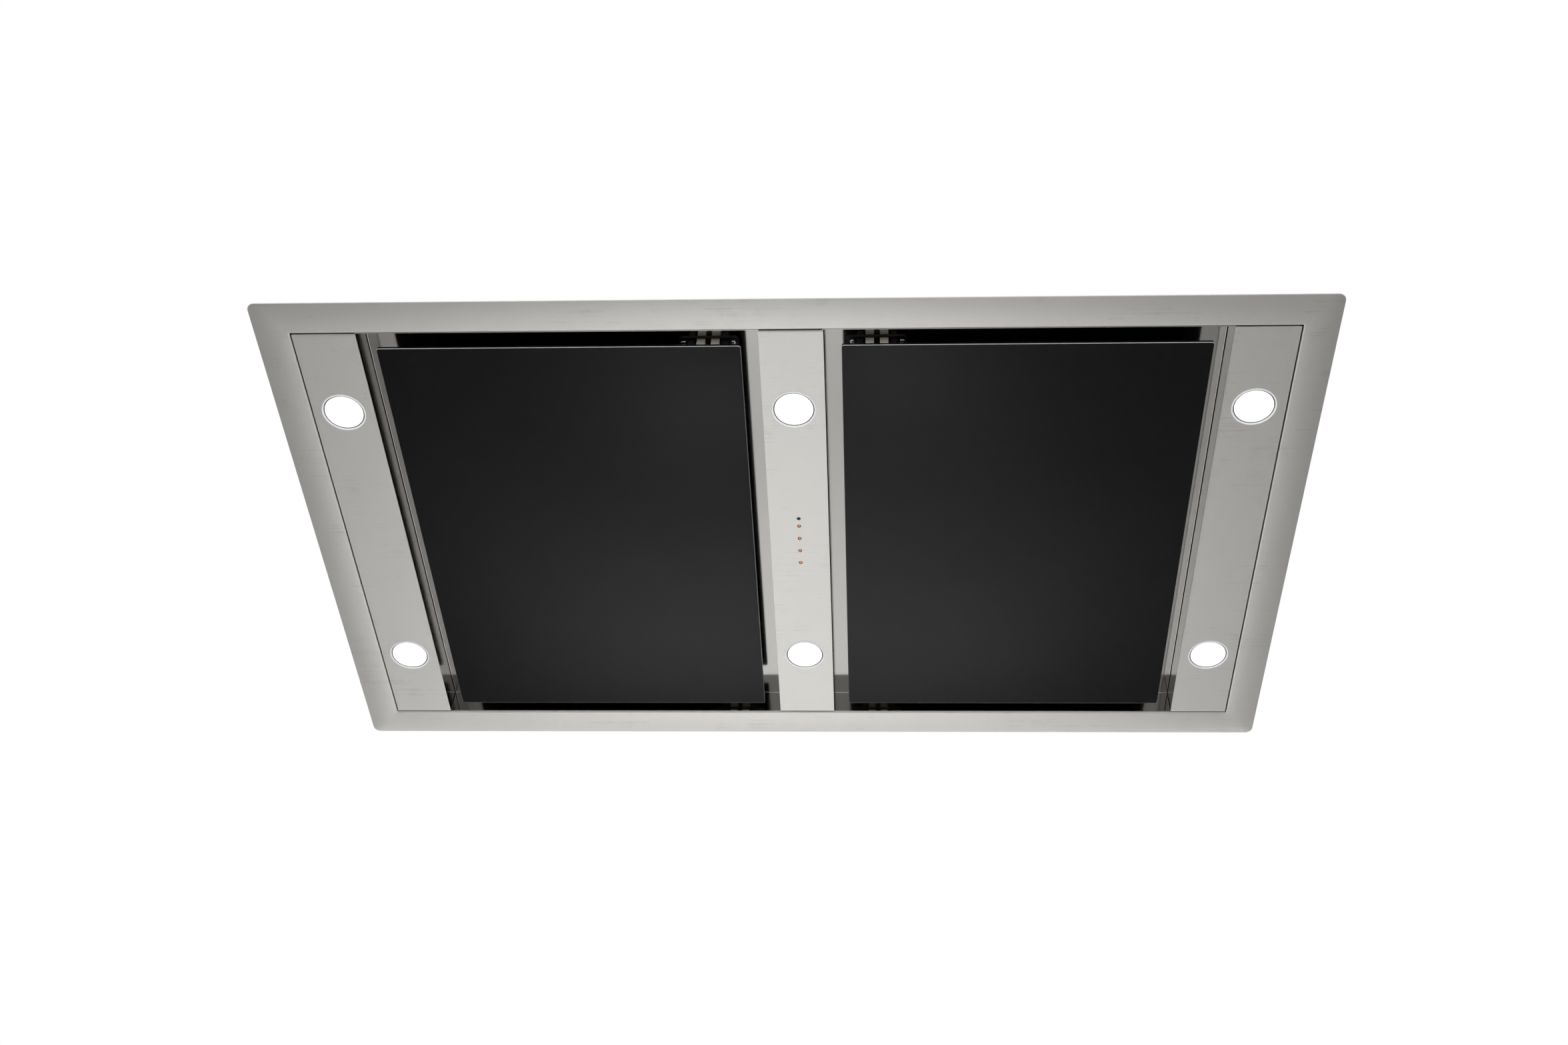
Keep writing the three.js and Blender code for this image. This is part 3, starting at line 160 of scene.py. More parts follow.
def rounded_loop(half_x, half_y, radius, corner_steps):
    """Closed loop of a rectangle with quarter-circle corners: corner centre plus radius times (cos, sin)."""
    angle = np.linspace(0, math.pi / 2, corner_steps + 1)
    quarters = []
    for turn, (sx, sy) in enumerate(((1, 1), (-1, 1), (-1, -1), (1, -1))):
        a = angle + turn * math.pi / 2
        x = sx * (half_x - radius) + radius * np.cos(a)
        y = sy * (half_y - radius) + radius * np.sin(a)
        quarters.append(np.stack([x, y], axis=1))
    return np.concatenate(quarters)


def carried_profile(profile, half_x, half_y, corner_steps=8):
    """Profile rows of (offset outwards, height, corner radius), each carried round a rectangle as a loop."""
    loops = []
    for offset, height, radius in profile:
        loop = rounded_loop(half_x + offset, half_y + offset, radius, corner_steps)
        loops.append(np.column_stack([loop, np.full(len(loop), height)]))
    return np.array(loops)


def full_turn(steps):
    """Angles that go once round in equal steps, in radians."""
    return np.arange(steps) * 2 * math.pi / steps


def turned_profile(profile, steps):
    """Surface of revolution about Z: (r cos a, r sin a, z) for each profile point (r, z) and angle a."""
    angle = full_turn(steps)
    r, z = np.array(profile, float).T
    x = r[:, None] * np.cos(angle)
    y = r[:, None] * np.sin(angle)
    return np.stack([x, y, np.repeat(z[:, None], steps, axis=1)], axis=2)


def arc(centre, radius, start, end, steps):
    """Points of a circular arc, centre plus radius times (cos, sin), from start to end in degrees."""
    a = np.radians(np.linspace(start, end, steps + 1))
    return np.column_stack([centre[0] + radius * np.cos(a), centre[1] + radius * np.sin(a)])


def box_middle(low, high):
    """Middle of a box in X and Y, at a height of nought."""
    return np.array([(low.x + high.x) / 2, (low.y + high.y) / 2, 0.0])


def copies_at(points, faces, places):
    """The same small surface repeated at each place, as one set of points and faces."""
    places = np.asarray(places, float)
    moved = (points[None] + places[:, None]).reshape(-1, 3)
    firsts = np.arange(len(places)) * len(points)
    return moved, (faces[None] + firsts[:, None, None]).reshape(-1, faces.shape[1])


def new_object(name, data):
    """New object of the data, linked to the scene."""
    made = bpy.data.objects.new(name, data)
    bpy.context.scene.collection.objects.link(made)
    return made


def piece(name, parts, body, materials, smooth_angle, replaced=()):
    """Makes one mesh of (points, faces, material index) parts, closes its poles and sets it on its body."""
    points = np.concatenate([np.asarray(p, float).reshape(-1, 3) for p, _, _ in parts])
    faces, indices, start = [], [], 0
    for part_points, part_faces, index in parts:
        faces.extend([tuple(int(v) + start for v in face) for face in part_faces])
        indices.extend([index] * len(part_faces))
        start += np.asarray(part_points).reshape(-1, 3).shape[0]
    mesh = bpy.data.meshes.new(name)
    mesh.from_pydata(points.tolist(), [], faces)
    mesh.polygons.foreach_set("material_index", indices)
    for material in materials:
        mesh.materials.append(material)
    work = bmesh.new()
    work.from_mesh(mesh)
    bmesh.ops.remove_doubles(work, verts=work.verts, dist=1e-6)
    bmesh.ops.recalc_face_normals(work, faces=work.faces)
    work.to_mesh(mesh)
    work.free()
    mesh.shade_smooth()
    mesh.set_sharp_from_angle(angle=math.radians(smooth_angle))
    made = new_object(name, mesh)
    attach(made, body)
    if replaced:
        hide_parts(*replaced)


# ------------------------ shader node groups

def new_group(name, output, **numbers):
    """Empty shader group: a vector and the numbers go in, with their defaults, and one number comes out."""
    group = bpy.data.node_groups.new(name, "ShaderNodeTree")
    group.interface.new_socket(name="Vector", in_out="INPUT", socket_type="NodeSocketVector")
    for number, default in numbers.items():
        made = group.interface.new_socket(name=number, in_out="INPUT", socket_type="NodeSocketFloat")
        made.default_value = default
    group.interface.new_socket(name=output, in_out="OUTPUT", socket_type="NodeSocketFloat")
    return group, group.nodes.new("NodeGroupInput").outputs, group.nodes.new("NodeGroupOutput").inputs


def feed(tree, socket, value):
    """Gives an input socket either a link from another socket or a plain value."""
    if isinstance(value, bpy.types.NodeSocket):
        tree.links.new(value, socket)
    else:
        socket.default_value = value


def feed_inputs(tree, node, **values):
    """Feeds a node's inputs by name, where an underscore stands for a space."""
    for name, value in values.items():
        feed(tree, node.inputs[name.replace("_", " ")], value)


def fed_node(tree, kind, **values):
    """New shader node of the given kind with its inputs fed by name."""
    node = tree.nodes.new("ShaderNode" + kind)
    feed_inputs(tree, node, **values)
    return node


def math_node(tree, operation, *values):
    """Math node fed by sockets or numbers; returns its output."""
    node = tree.nodes.new("ShaderNodeMath")
    node.operation = operation
    for socket, value in zip(node.inputs, values):
        feed(tree, socket, value)
    return node.outputs[0]


def noise(tree, vector, scale, detail, roughness):
    """Noise texture's value on the given vector."""
    node = fed_node(tree, "TexNoise", Vector=vector, Scale=scale, Detail=detail, Roughness=roughness)
    return node.outputs["Fac"]


def brushed_grain_group():
    """Fine hairlines over wider streaks, both from noise that the caller has drawn out along the brushing."""
    group, start, end = new_group("hood_brushed_grain", "Grain", Streaks=0.35)
    hair = noise(group, start["Vector"], 700.0, 3.0, 0.6)
    streak = noise(group, start["Vector"], 280.0, 3.0, 0.6)
    weighted = math_node(group, "MULTIPLY", streak, start["Streaks"])
    remainder = math_node(group, "SUBTRACT", 1.0, start["Streaks"])
    total = math_node(group, "ADD", math_node(group, "MULTIPLY", hair, remainder), weighted)
    group.links.new(total, end["Grain"])
    return group


def handling_marks_group():
    """Broad cloudy marks that handling and wiping leave, broken up by finer smears."""
    contrast, middle = 2.4, 0.05
    group, start, end = new_group("hood_handling_marks", "Marks", Amount=0.5)
    cloud = noise(group, start["Vector"], 7.0, 4.0, 0.6)
    smear = noise(group, start["Vector"], 38.0, 3.0, 0.7)
    spread = math_node(group, "MULTIPLY", math_node(group, "MULTIPLY", cloud, smear), contrast)
    centred = math_node(group, "SUBTRACT", spread, middle)
    scaled = math_node(group, "MULTIPLY", centred, start["Amount"])
    group.links.new(scaled, end["Marks"])
    return group


def spangle_group():
    """Zinc spangle: flat crystals of different tone from a cell pattern, with soft noise inside each."""
    group, start, end = new_group("hood_zinc_spangle", "Tone")
    cells = fed_node(group, "TexVoronoi", Vector=start["Vector"], Scale=85.0, Randomness=0.95)
    split = fed_node(group, "SeparateColor", Color=cells.outputs["Color"])
    inside = noise(group, start["Vector"], 300.0, 3.0, 0.6)
    total = math_node(group, "ADD", math_node(group, "MULTIPLY", split.outputs[0], 0.7),
                      math_node(group, "MULTIPLY", inside, 0.3))
    group.links.new(total, end["Tone"])
    return group


# ------------------------ materials

def new_material(name):
    """Node material with its shader, its tree and Object coordinates ready."""
    material = bpy.data.materials.new("hood_" + name)
    material.use_nodes = True
    tree = material.node_tree
    shader = tree.nodes["Principled BSDF"]
    where = tree.nodes.new("ShaderNodeTexCoord").outputs["Object"]
    return material, tree, shader, where


def drawn_out(tree, vector, stretch):
    """Object coordinates squeezed by the given factors, so a pattern is drawn out along the small ones."""
    return fed_node(tree, "Mapping", Vector=vector, Scale=stretch).outputs["Vector"]


def placed_group(tree, group, **values):
    """A shader group placed in a material with its own values; returns its first output."""
    node = tree.nodes.new("ShaderNodeGroup")
    node.node_tree = group
    feed_inputs(tree, node, **values)
    return node.outputs[0]


def ranged(tree, value, low, high, from_low=0.0, from_high=1.0):
    """Value carried linearly from one range to another and held at the ends."""
    limits = {"From_Min": from_low, "From_Max": from_high, "To_Min": low, "To_Max": high}
    return fed_node(tree, "MapRange", Value=value, **limits).outputs["Result"]


def toned(tree, colour, value, low, high, from_low=0.3, from_high=0.7):
    """Colour made darker or lighter by a value: the colour times a factor between low and high."""
    factor = ranged(tree, value, low, high, from_low, from_high)
    node = tree.nodes.new("ShaderNodeVectorMath")
    node.operation = "SCALE"
    node.inputs[0].default_value = colour[:3]
    tree.links.new(factor, node.inputs["Scale"])
    return node.outputs[0]


def bumped(tree, shader, height, distance, strength=0.5):
    """Bump from a height value on the shader's normal."""
    node = fed_node(tree, "Bump", Height=height, Distance=distance, Strength=strength)
    tree.links.new(node.outputs["Normal"], shader.inputs["Normal"])


def brushed_steel(name, colour, roughness, stretch, groups, depth=0.00004):
    """Brushed sheet: hairlines drawn out along the brushing, in tone, roughness and a shallow relief."""
    material, tree, shader, where = new_material(name)
    grain = placed_group(tree, groups["grain"], Vector=drawn_out(tree, where, stretch), Streaks=0.55)
    marks = placed_group(tree, groups["marks"], Vector=where, Amount=0.5)
    mixed = math_node(tree, "ADD", grain, marks)
    feed_inputs(
        tree, shader, Base_Color=toned(tree, colour, mixed, 0.76, 1.16), Metallic=1.0,
        Roughness=ranged(tree, mixed, roughness - 0.05, roughness + 0.07, 0.3, 0.7),
    )
    bumped(tree, shader, grain, depth)
    return material


def bright_steel(name, colour, groups):
    """Bright rolled sheet: nearly a mirror, slightly wavy, with faint wiping marks."""
    material, tree, shader, where = new_material(name)
    marks = placed_group(tree, groups["marks"], Vector=where, Amount=1.0)
    feed_inputs(
        tree, shader, Base_Color=toned(tree, colour, marks, 0.94, 1.05, -0.3, 0.3), Metallic=1.0,
        Roughness=ranged(tree, marks, 0.05, 0.10, -0.3, 0.3),
    )
    bumped(tree, shader, noise(tree, where, 9.0, 1.0, 0.4), 0.0003, 0.1)
    return material


def zinc_steel(name, colour, groups):
    """Galvanised sheet: zinc spangle in tone and roughness, with handling marks over it."""
    material, tree, shader, where = new_material(name)
    tone = placed_group(tree, groups["spangle"], Vector=where)
    marks = placed_group(tree, groups["marks"], Vector=where, Amount=0.6)
    mixed = math_node(tree, "ADD", tone, marks)
    feed_inputs(
        tree, shader, Base_Color=toned(tree, colour, mixed, 0.82, 1.12, 0.1, 0.9), Metallic=0.85,
        Roughness=ranged(tree, tone, 0.36, 0.52),
    )
    bumped(tree, shader, mixed, 0.00005, 0.3)
    return material


def satin_metal(name, colour, roughness, groups):
    """Satin metal, such as bare aluminium: faint lines along Y and soft wiping marks."""
    along_y = (1.0, 0.02, 1.0)
    return brushed_steel(name, colour, roughness, along_y, groups, 0.00003)


def black_glass(name, colour):
    """Polished black glass: a dark painted back under a clear face that mirrors a little."""
    material, tree, shader, where = new_material(name)
    cloud = noise(tree, where, 5.0, 3.0, 0.6)
    feed_inputs(
        tree, shader, Base_Color=toned(tree, colour, cloud, 0.8, 1.25), IOR=1.29,
        Roughness=ranged(tree, noise(tree, where, 26.0, 4.0, 0.6), 0.03, 0.07, 0.3, 0.7),
    )
    return material


def ground_edge(name, colour):
    """Ground arris with fine lines, with painted light: kept pale along the near and far edges and painted
    dark along the side edges, by the way each edge faces.
    """
    material, tree, shader, where = new_material(name)
    lines = noise(tree, drawn_out(tree, where, (0.05, 0.05, 1.0)), 2600.0, 2.0, 0.5)
    normal = tree.nodes.new("ShaderNodeTexCoord").outputs["Normal"]
    split = fed_node(tree, "SeparateXYZ", Vector=normal)
    # painted light: the edge's colour follows how far its normal points near or far, so the side edges are
    # painted dark
    painted_light_by_facing = ranged(tree, math_node(tree, "ABSOLUTE", split.outputs["Y"]), 0.12, 1.0, 0.1, 0.6)
    mixed = math_node(tree, "MULTIPLY", painted_light_by_facing, ranged(tree, lines, 0.85, 1.15, 0.3, 0.7))
    feed_inputs(
        tree, shader, Base_Color=toned(tree, colour, mixed, 0.0, 1.0, 0.0, 1.0),
        Roughness=ranged(tree, lines, 0.06, 0.16, 0.3, 0.7),
    )
    bumped(tree, shader, lines, 0.00002, 0.3)
    return material


def fine_grained(name, colour, roughness, grain=0.00004, scale=900.0, subsurface=0.0, metallic=0.0):
    """Moulded plastic, powder coat or plating: fine grain and slightly uneven colour."""
    material, tree, shader, where = new_material(name)
    fine = noise(tree, where, scale, 3.0, 0.6)
    cloud = noise(tree, where, 40.0, 3.0, 0.5)
    feed_inputs(
        tree, shader, Base_Color=toned(tree, colour, cloud, 0.9, 1.1), Metallic=metallic,
        Roughness=ranged(tree, fine, roughness - 0.06, roughness + 0.08, 0.3, 0.7),
        Subsurface_Weight=subsurface, Subsurface_Scale=0.002,
    )
    bumped(tree, shader, fine, grain)
    return material


def glowing(name, colour, emission, strength, scale):
    """Lit plastic or glass: an even glow that a faint frosting breaks up."""
    material, tree, shader, where = new_material(name)
    frost = noise(tree, where, scale, 2.0, 0.5)
    feed_inputs(
        tree, shader, Base_Color=toned(tree, colour, frost, 0.95, 1.05), Roughness=0.4,
        Emission_Color=toned(tree, emission, frost, 0.97, 1.03), Emission_Strength=strength,
    )
    return material


def seen_ray(tree):
    """One for a ray that comes from the camera, a mirror or glass, and nought for every other."""
    path = tree.nodes.new("ShaderNodeLightPath")
    seen = math_node(tree, "MAXIMUM", path.outputs["Is Camera Ray"], path.outputs["Is Glossy Ray"])
    return math_node(tree, "MAXIMUM", seen, path.outputs["Is Transmission Ray"])


def pale_material(name):
    """Matt pale stage surface with faint clouds; returns it with its tree and its shader."""
    material, tree, shader, where = new_material(name)
    cloud = noise(tree, where, 3.0, 2.0, 0.5)
    feed_inputs(tree, shader, Base_Color=toned(tree, (0.80, 0.80, 0.80), cloud, 0.98, 1.02), Roughness=0.9)
    return material, tree, shader


def mixed_surface(tree, share, first, second):
    """Puts a mix of two shaders on the surface: the second one's share comes from a socket."""
    mix = tree.nodes.new("ShaderNodeMixShader")
    tree.links.new(share, mix.inputs["Fac"])
    tree.links.new(first, mix.inputs[1])
    tree.links.new(second, mix.inputs[2])
    tree.links.new(mix.outputs["Shader"], tree.nodes["Material Output"].inputs["Surface"])


def indicator_light(name, emission, strength):
    """Light guide: glowing core round each post's axis, dull red and then dark towards its rim."""
    first_post, pitch = -23 * MM, 20 * MM
    core, glow_end = 0.5 * MM, 1.6 * MM
    material, tree, shader, where = new_material(name)
    split = fed_node(tree, "SeparateXYZ", Vector=where)
    along = math_node(tree, "DIVIDE", math_node(tree, "SUBTRACT", split.outputs["Y"], first_post), pitch)
    from_nearest = math_node(tree, "SUBTRACT", along, math_node(tree, "ROUND", along))
    off = math_node(tree, "MULTIPLY", from_nearest, pitch)
    squares = math_node(tree, "ADD", math_node(tree, "MULTIPLY", off, off),
                        math_node(tree, "MULTIPLY", split.outputs["X"], split.outputs["X"]))
    glow = ranged(tree, math_node(tree, "SQRT", squares), 1.0, 0.0, core, glow_end)
    feed_inputs(
        tree, shader, Base_Color=toned(tree, (0.5, 0.05, 0.02), glow, 0.15, 1.0, 0.0, 1.0), Roughness=0.25,
        Emission_Color=toned(tree, emission, glow, 0.02, 1.0, 0.0, 1.0), Emission_Strength=strength,
    )
    return material


def circuit_board(name):
    """Solder mask with the faint relief of copper tracks."""
    material, tree, shader, where = new_material(name)
    tracks = fed_node(tree, "TexBrick", Vector=where, Scale=160.0, Mortar_Size=0.06).outputs["Fac"]
    mask = toned(tree, (0.02, 0.12, 0.05), tracks, 0.8, 1.8, 0.0, 1.0)
    feed_inputs(tree, shader, Base_Color=mask, Roughness=0.35)
    bumped(tree, shader, tracks, 0.00003)
    return material


def make_materials(colours):
    """Every finish of the hood, by the record's slot name, plus the finishes of the added pieces."""
    groups = {"grain": brushed_grain_group(), "marks": handling_marks_group(), "spangle": spangle_group()}
    along_x = (0.008, 1.0, 1.0)
    return {
        "stainless_brushed": brushed_steel("stainless_brushed", colours.stainless, 0.30, along_x, groups),
        "stainless_bright": bright_steel("stainless_bright", colours.liner, groups),
        "galvanised_steel": zinc_steel("galvanised_steel", colours.galvanised, groups),
        "aluminium": satin_metal("aluminium", colours.aluminium, 0.34, groups),
        "black_glass": black_glass("black_glass", colours.glass),
        "glass_edge": ground_edge("glass_edge", colours.glass_edge),
        "black_paint": fine_grained("black_paint", (0.018, 0.018, 0.02), 0.5, 0.00008, 700.0),
        "cream_nylon": fine_grained("cream_nylon", colours.nylon, 0.42, 0.00002, 500.0, subsurface=0.15),
        "lamp_white": glowing("lamp_white", (0.95, 0.95, 0.94), (0.98, 1.0, 1.0), 1.25, 900.0),
        "red_indicator": indicator_light("red_indicator", colours.indicator, 1.1),
        "circuit_board": circuit_board("circuit_board"),
        "grey_plastic": fine_grained("grey_plastic", (0.26, 0.27, 0.28), 0.5),
        "black_plastic": fine_grained("black_plastic", (0.014, 0.014, 0.015), 0.45),
        "lamp_border": glowing("lamp_border", (0.12, 0.12, 0.12), (0.98, 1.0, 1.0), 0.04, 900.0),
        # painted light: the metal rim and inner wall of each lamp cup glow faintly, for the lamp's own light
        # falling on them
        "lamp_rim": glowing("lamp_rim", (0.7, 0.7, 0.71), (0.98, 1.0, 1.0), 0.32, 900.0),
        "lamp_metal": satin_metal("lamp_metal", (0.36, 0.36, 0.37), 0.28, groups),
        # painted shade: the catch housings' steel is given a near-black colour for the shade they hang in
        # inside the recess
        "catch_steel": satin_metal("catch_steel", (0.05, 0.047, 0.042), 0.45, groups),
        "screw_steel": fine_grained("screw_steel", (0.85, 0.85, 0.85), 0.09, 0.00001, 1200.0, metallic=1.0),
    }


MATERIALS = {}


def set_material(node, material):
    """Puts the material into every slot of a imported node."""
    for entry in NODES[node].material_slots:
        entry.material = material


# ------------------------ operators

class HOOD_OT_finishes(Operator):
    """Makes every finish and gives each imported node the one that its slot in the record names."""

    bl_idname = "hood.finishes"
    bl_label = "Finishes of the packed nodes"

    def execute(self, context):
        MATERIALS.update(make_materials(context.scene.hood_colours))
        for part in frame["record"]["subparts"]:
            set_material(part["node"], MATERIALS[part["material_slot"]])
        return {"FINISHED"}


class HOOD_OT_flange(Operator):
    """Flange as one folded sheet: rolled hem outside, rounded bend and upstand inside."""

    bl_idname = "hood.flange"
    bl_label = "Folded flange"

    def execute(self, context):
        _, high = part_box("ceiling_flange")
        bend = context.scene.hood_sizes.bend_radius
        border, sheet, hem_width, upstand = 41 * MM, 1 * MM, 12 * MM, 1 * MM
        inner_corner, outer_corner = 0.4 * MM, 9 * MM
        hem_end = border - hem_width
        hem = arc((border - sheet, sheet), sheet, -90, 90, 6)
        bend_out = arc((upstand + bend, bend), bend, 180, 270, 6)
        bend_in = arc((upstand + bend, bend), bend - sheet, 270, 180, 5)
        section = np.concatenate([
            bend_out, hem, [[hem_end, 2 * sheet], [hem_end - sheet / 2, sheet]], bend_in,
            [[upstand + sheet, high.z], [upstand, high.z]],
        ])
        offsets, corners = [upstand, upstand + bend, border], [inner_corner, bend, outer_corner]
        radius = np.interp(section[:, 0], offsets, corners)
        profile = np.column_stack([section, radius])
        grid = carried_profile(profile, high.x - border, high.y - border, 10)
        piece("flange_sheet", [(grid, closed_tube_faces(grid), 0)], "hood",
              [MATERIALS["stainless_brushed"]], 50, ["ceiling_flange"])
        return {"FINISHED"}


class HOOD_OT_glass(Operator):
    """Glass panels with a polished edge between two rounded arrises, the lower one ground."""

    bl_idname = "hood.glass"
    bl_label = "Glass panels"

    def execute(self, context):
        arris = context.scene.hood_sizes.glass_arris
        corner, steps = 3 * MM, 4
        for side in SIDES:
            node = "glass_panel_" + side
            low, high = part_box(node)
            half = (high - low) / 2
            lower = arc((-arris, low.z + arris), arris, -90, 0, steps)
            upper = arc((-arris, high.z - arris), arris, 0, 90, steps)
            section = np.concatenate([lower, upper])
            profile = np.column_stack([section, corner + section[:, 0]])
            grid = carried_profile(profile, half.x, half.y) + box_middle(low, high)
            faces = capped_faces(grid)
            ground = steps * grid.shape[1]
            parts = [(grid, faces[:ground], 1), (grid, faces[ground:], 0)]
            piece("glass_sheet_" + side, parts, "panel_" + side,
                  [MATERIALS["black_glass"], MATERIALS["glass_edge"]], 30, [node])
        return {"FINISHED"}


class HOOD_OT_lamps(Operator):
    """Recessed lamps: rim and inner cup wall with a painted glow for the lamp's light on them, cup and
    cooling fins, with a smooth frosted lens.
    """

    bl_idname = "hood.lamps"
    bl_label = "Recessed lamps"

    def execute(self, context):
        fins = context.scene.hood_sizes.lamp_fins
        for place in ("left", "centre", "right"):
            for row in ROWS:
                name = place + "_" + row
                low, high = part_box("lamp_body_" + name)
                centre = box_middle(low, high)
                self.body(name, centre, (high.x - low.x) / 2, low.z, high.z, fins)
                self.lens(name, centre)
        return {"FINISHED"}

    def body(self, name, centre, rim, bottom, top, fins):
        """Turned cup whose rim has a rolled lower edge, with thin radial fins above it."""
        cup, tube, shelf, foot = 23.9 * MM, 24.5 * MM, 3.3 * MM, 4.8 * MM
        edge, seat, steps = 0.4 * MM, -0.05 * MM, 72
        inner = arc((cup + edge, bottom + edge), edge, 180, 270, 4)
        outer = arc((rim - edge, bottom + edge), edge, -90, 0, 4)
        # painted light: these faces, the cup's inner wall and its rim, take the faintly glowing lamp_rim
        # finish
        lit = np.concatenate([[[cup, shelf], [cup, bottom + edge]], inner, outer])
        rest = [[rim, seat], [tube, seat], [tube, foot], [0, foot], [0, shelf]]
        grid = turned_profile(np.concatenate([lit, rest]), steps) + centre
        around = closed_tube_faces(grid)
        lit_faces = len(lit) * steps
        parts = [(grid, around[:lit_faces], 1), (grid, around[lit_faces:], 0)]
        for turn in full_turn(fins):
            parts.append(self.fin(centre, turn, tube, foot, top))
        piece("lamp_cup_" + name, parts, "hood", [MATERIALS["lamp_metal"], MATERIALS["lamp_rim"]],
              35, ["lamp_body_" + name])

    def fin(self, centre, turn, tube, foot, top):
        """Upright five-sided plate, its upper outer corner cut off, turned about the lamp's axis."""
        inner, half_thickness, cut_width, cut_height, sunk = 5 * MM, 0.55 * MM, 3 * MM, 4 * MM, 0.3 * MM
        base = foot - sunk
        cut = [(tube, top - cut_height), (tube - cut_width, top)]
        corners = [(inner, base), (tube, base), *cut, (inner, top)]
        reach, height = np.array(corners).T
        along = np.array([math.cos(turn), math.sin(turn), 0])
        across = np.array([-math.sin(turn), math.cos(turn), 0])
        outline = centre + reach[:, None] * along + height[:, None] * np.array([0, 0, 1])
        plate = np.array([outline - half_thickness * across, outline + half_thickness * across])
        return plate, capped_faces(plate), 0

    def lens(self, name, centre):
        """Shallow dome that rises with the square of the distance from its axis, inside a dull border."""
        radius, lit, rise, start, back = 23.6 * MM, 22.2 * MM, 0.5 * MM, 0.6 * MM, 3.0 * MM
        rings, steps = 8, 72
        r = np.append(np.linspace(0, lit, rings + 1), radius)
        dome = np.column_stack([r, start - rise * (1 - (r / radius) ** 2)])
        grid = turned_profile(np.concatenate([dome, [[radius, back], [0, back]]]), steps) + centre
        around = turned_faces(grid)
        lit_faces = rings * steps
        parts = [(grid, around[:lit_faces], 0), (grid, around[lit_faces:], 1)]
        piece("lamp_diffuser_" + name, parts, "hood", [MATERIALS["lamp_white"], MATERIALS["lamp_border"]],
              40, ["lamp_lens_" + name])


def screw_head(radius):
    """Head that hangs down with a flat back: a dome less a pit where |x| or |y| is small and r is short."""
    rings, steps = 12, 32
    dome_height, dome_share = 0.62, 0.93
    half_slot, slot_side, slot_reach, slot_end, slot_depth = 0.16, 0.06, 0.62, 0.12, 0.4
    r, a = np.meshgrid(np.linspace(0, 1, rings), full_turn(steps), indexing="ij")
    x, y = r * np.cos(a), r * np.sin(a)
    dome = dome_height * np.sqrt(1 - (r * dome_share) ** 2)
    off_slot = np.minimum(np.abs(x), np.abs(y))
    pit = np.clip((half_slot - off_slot) / slot_side, 0, 1) * np.clip((slot_reach - r) / slot_end, 0, 1)
    head = radius * np.stack([x, y, slot_depth * pit - dome], axis=2)
    rim = head[-1] * (1, 1, 0)
    grid = np.concatenate([head, [rim, rim * 0]])
    return grid.reshape(-1, 3), turned_faces(grid)


def rivet_head(radius):
    """Low dome of a blind rivet with the dimple that its mandrel leaves, closed by a flat back."""
    r = np.array([0, 0.25, 0.32, 0.6, 0.85, 1.0, 1.0, 0])
    z = np.array([0.18, 0.18, 0.36, 0.34, 0.22, 0.06, 0, 0])
    grid = turned_profile(np.column_stack([r * radius, z * radius]), 14)
    return grid.reshape(-1, 3), turned_faces(grid)


def facing(points, axis):
    """Turns a head that points along +Z so that it points along the given axis."""
    turn = Vector((0, 0, 1)).rotation_difference(Vector(axis)).to_matrix()
    return points @ np.array(turn).T


class HOOD_OT_catches(Operator):
    """Housings of the spring catches: thin screw plate and the two folded blocks that hold the springs."""

    bl_idname = "hood.catches"
    bl_label = "Catch housings"

    def execute(self, context):
        for side in SIDES:
            for row in ROWS:
                node = f"catch_housing_{side}_{row}"
                low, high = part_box(node)
                centre = box_middle(low, high)
                parts = [self.plate(centre, low, high)]
                parts += [self.spring_block(centre, high, sign) for sign in (-1, 1)]
                piece("catch_body_" + side + "_" + row, parts, "hood", [MATERIALS["catch_steel"]],
                      35, [node])
        return {"FINISHED"}

    def plate(self, centre, low, high):
        """Screw plate with round corners, its lower edge chamfered."""
        edge, corner = 0.4 * MM, 4 * MM
        foot = high.z - CATCH_PLATE
        rows = [(0, high.z, corner), (0, foot + edge, corner), (-edge, foot, corner - edge)]
        grid = carried_profile(rows, (high.x - low.x) / 2, (high.y - low.y) / 2, 6) + centre
        return grid, capped_faces(grid), 0

    def spring_block(self, centre, high, sign):
        """Folded block beside a jaw: an outline in X and Z, outer lower corner cut off, carried along Y."""
        inner, outer, cut, bend, half = 15.9 * MM, 22.6 * MM, 3 * MM, 0.8 * MM, 5.4 * MM
        top, foot, shoulder = high.z - CATCH_PLATE, high.z - 14.8 * MM, high.z - 9.8 * MM
        outline = np.concatenate([
            [[inner, top]], arc((inner + bend, foot + bend), bend, 180, 270, 3), [[outer - cut, foot]],
            [[outer, shoulder]], [[outer, top]],
        ])
        rows = [np.column_stack([sign * outline[:, 0], np.full(len(outline), y), outline[:, 1]])
                for y in (-half, half)]
        grid = np.array(rows) + centre
        return grid, capped_faces(grid), 0


class HOOD_OT_screws(Operator):
    """Two cross-recess screws in the plate of each catch."""

    bl_idname = "hood.screws"
    bl_label = "Catch screws"

    def execute(self, context):
        points, faces = screw_head(context.scene.hood_sizes.screw_radius)
        inset = 6 * MM
        for side in SIDES:
            places = []
            for row in ROWS:
                low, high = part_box(f"catch_housing_{side}_{row}")
                middle, foot = (low.y + high.y) / 2, high.z - CATCH_PLATE
                places += [(low.x + inset, middle, foot), (high.x - inset, middle, foot)]
            moved = copies_at(points, faces, places)
            piece("catch_screws_" + side, [(*moved, 0)], "hood", [MATERIALS["screw_steel"]],
                  35)
        return {"FINISHED"}


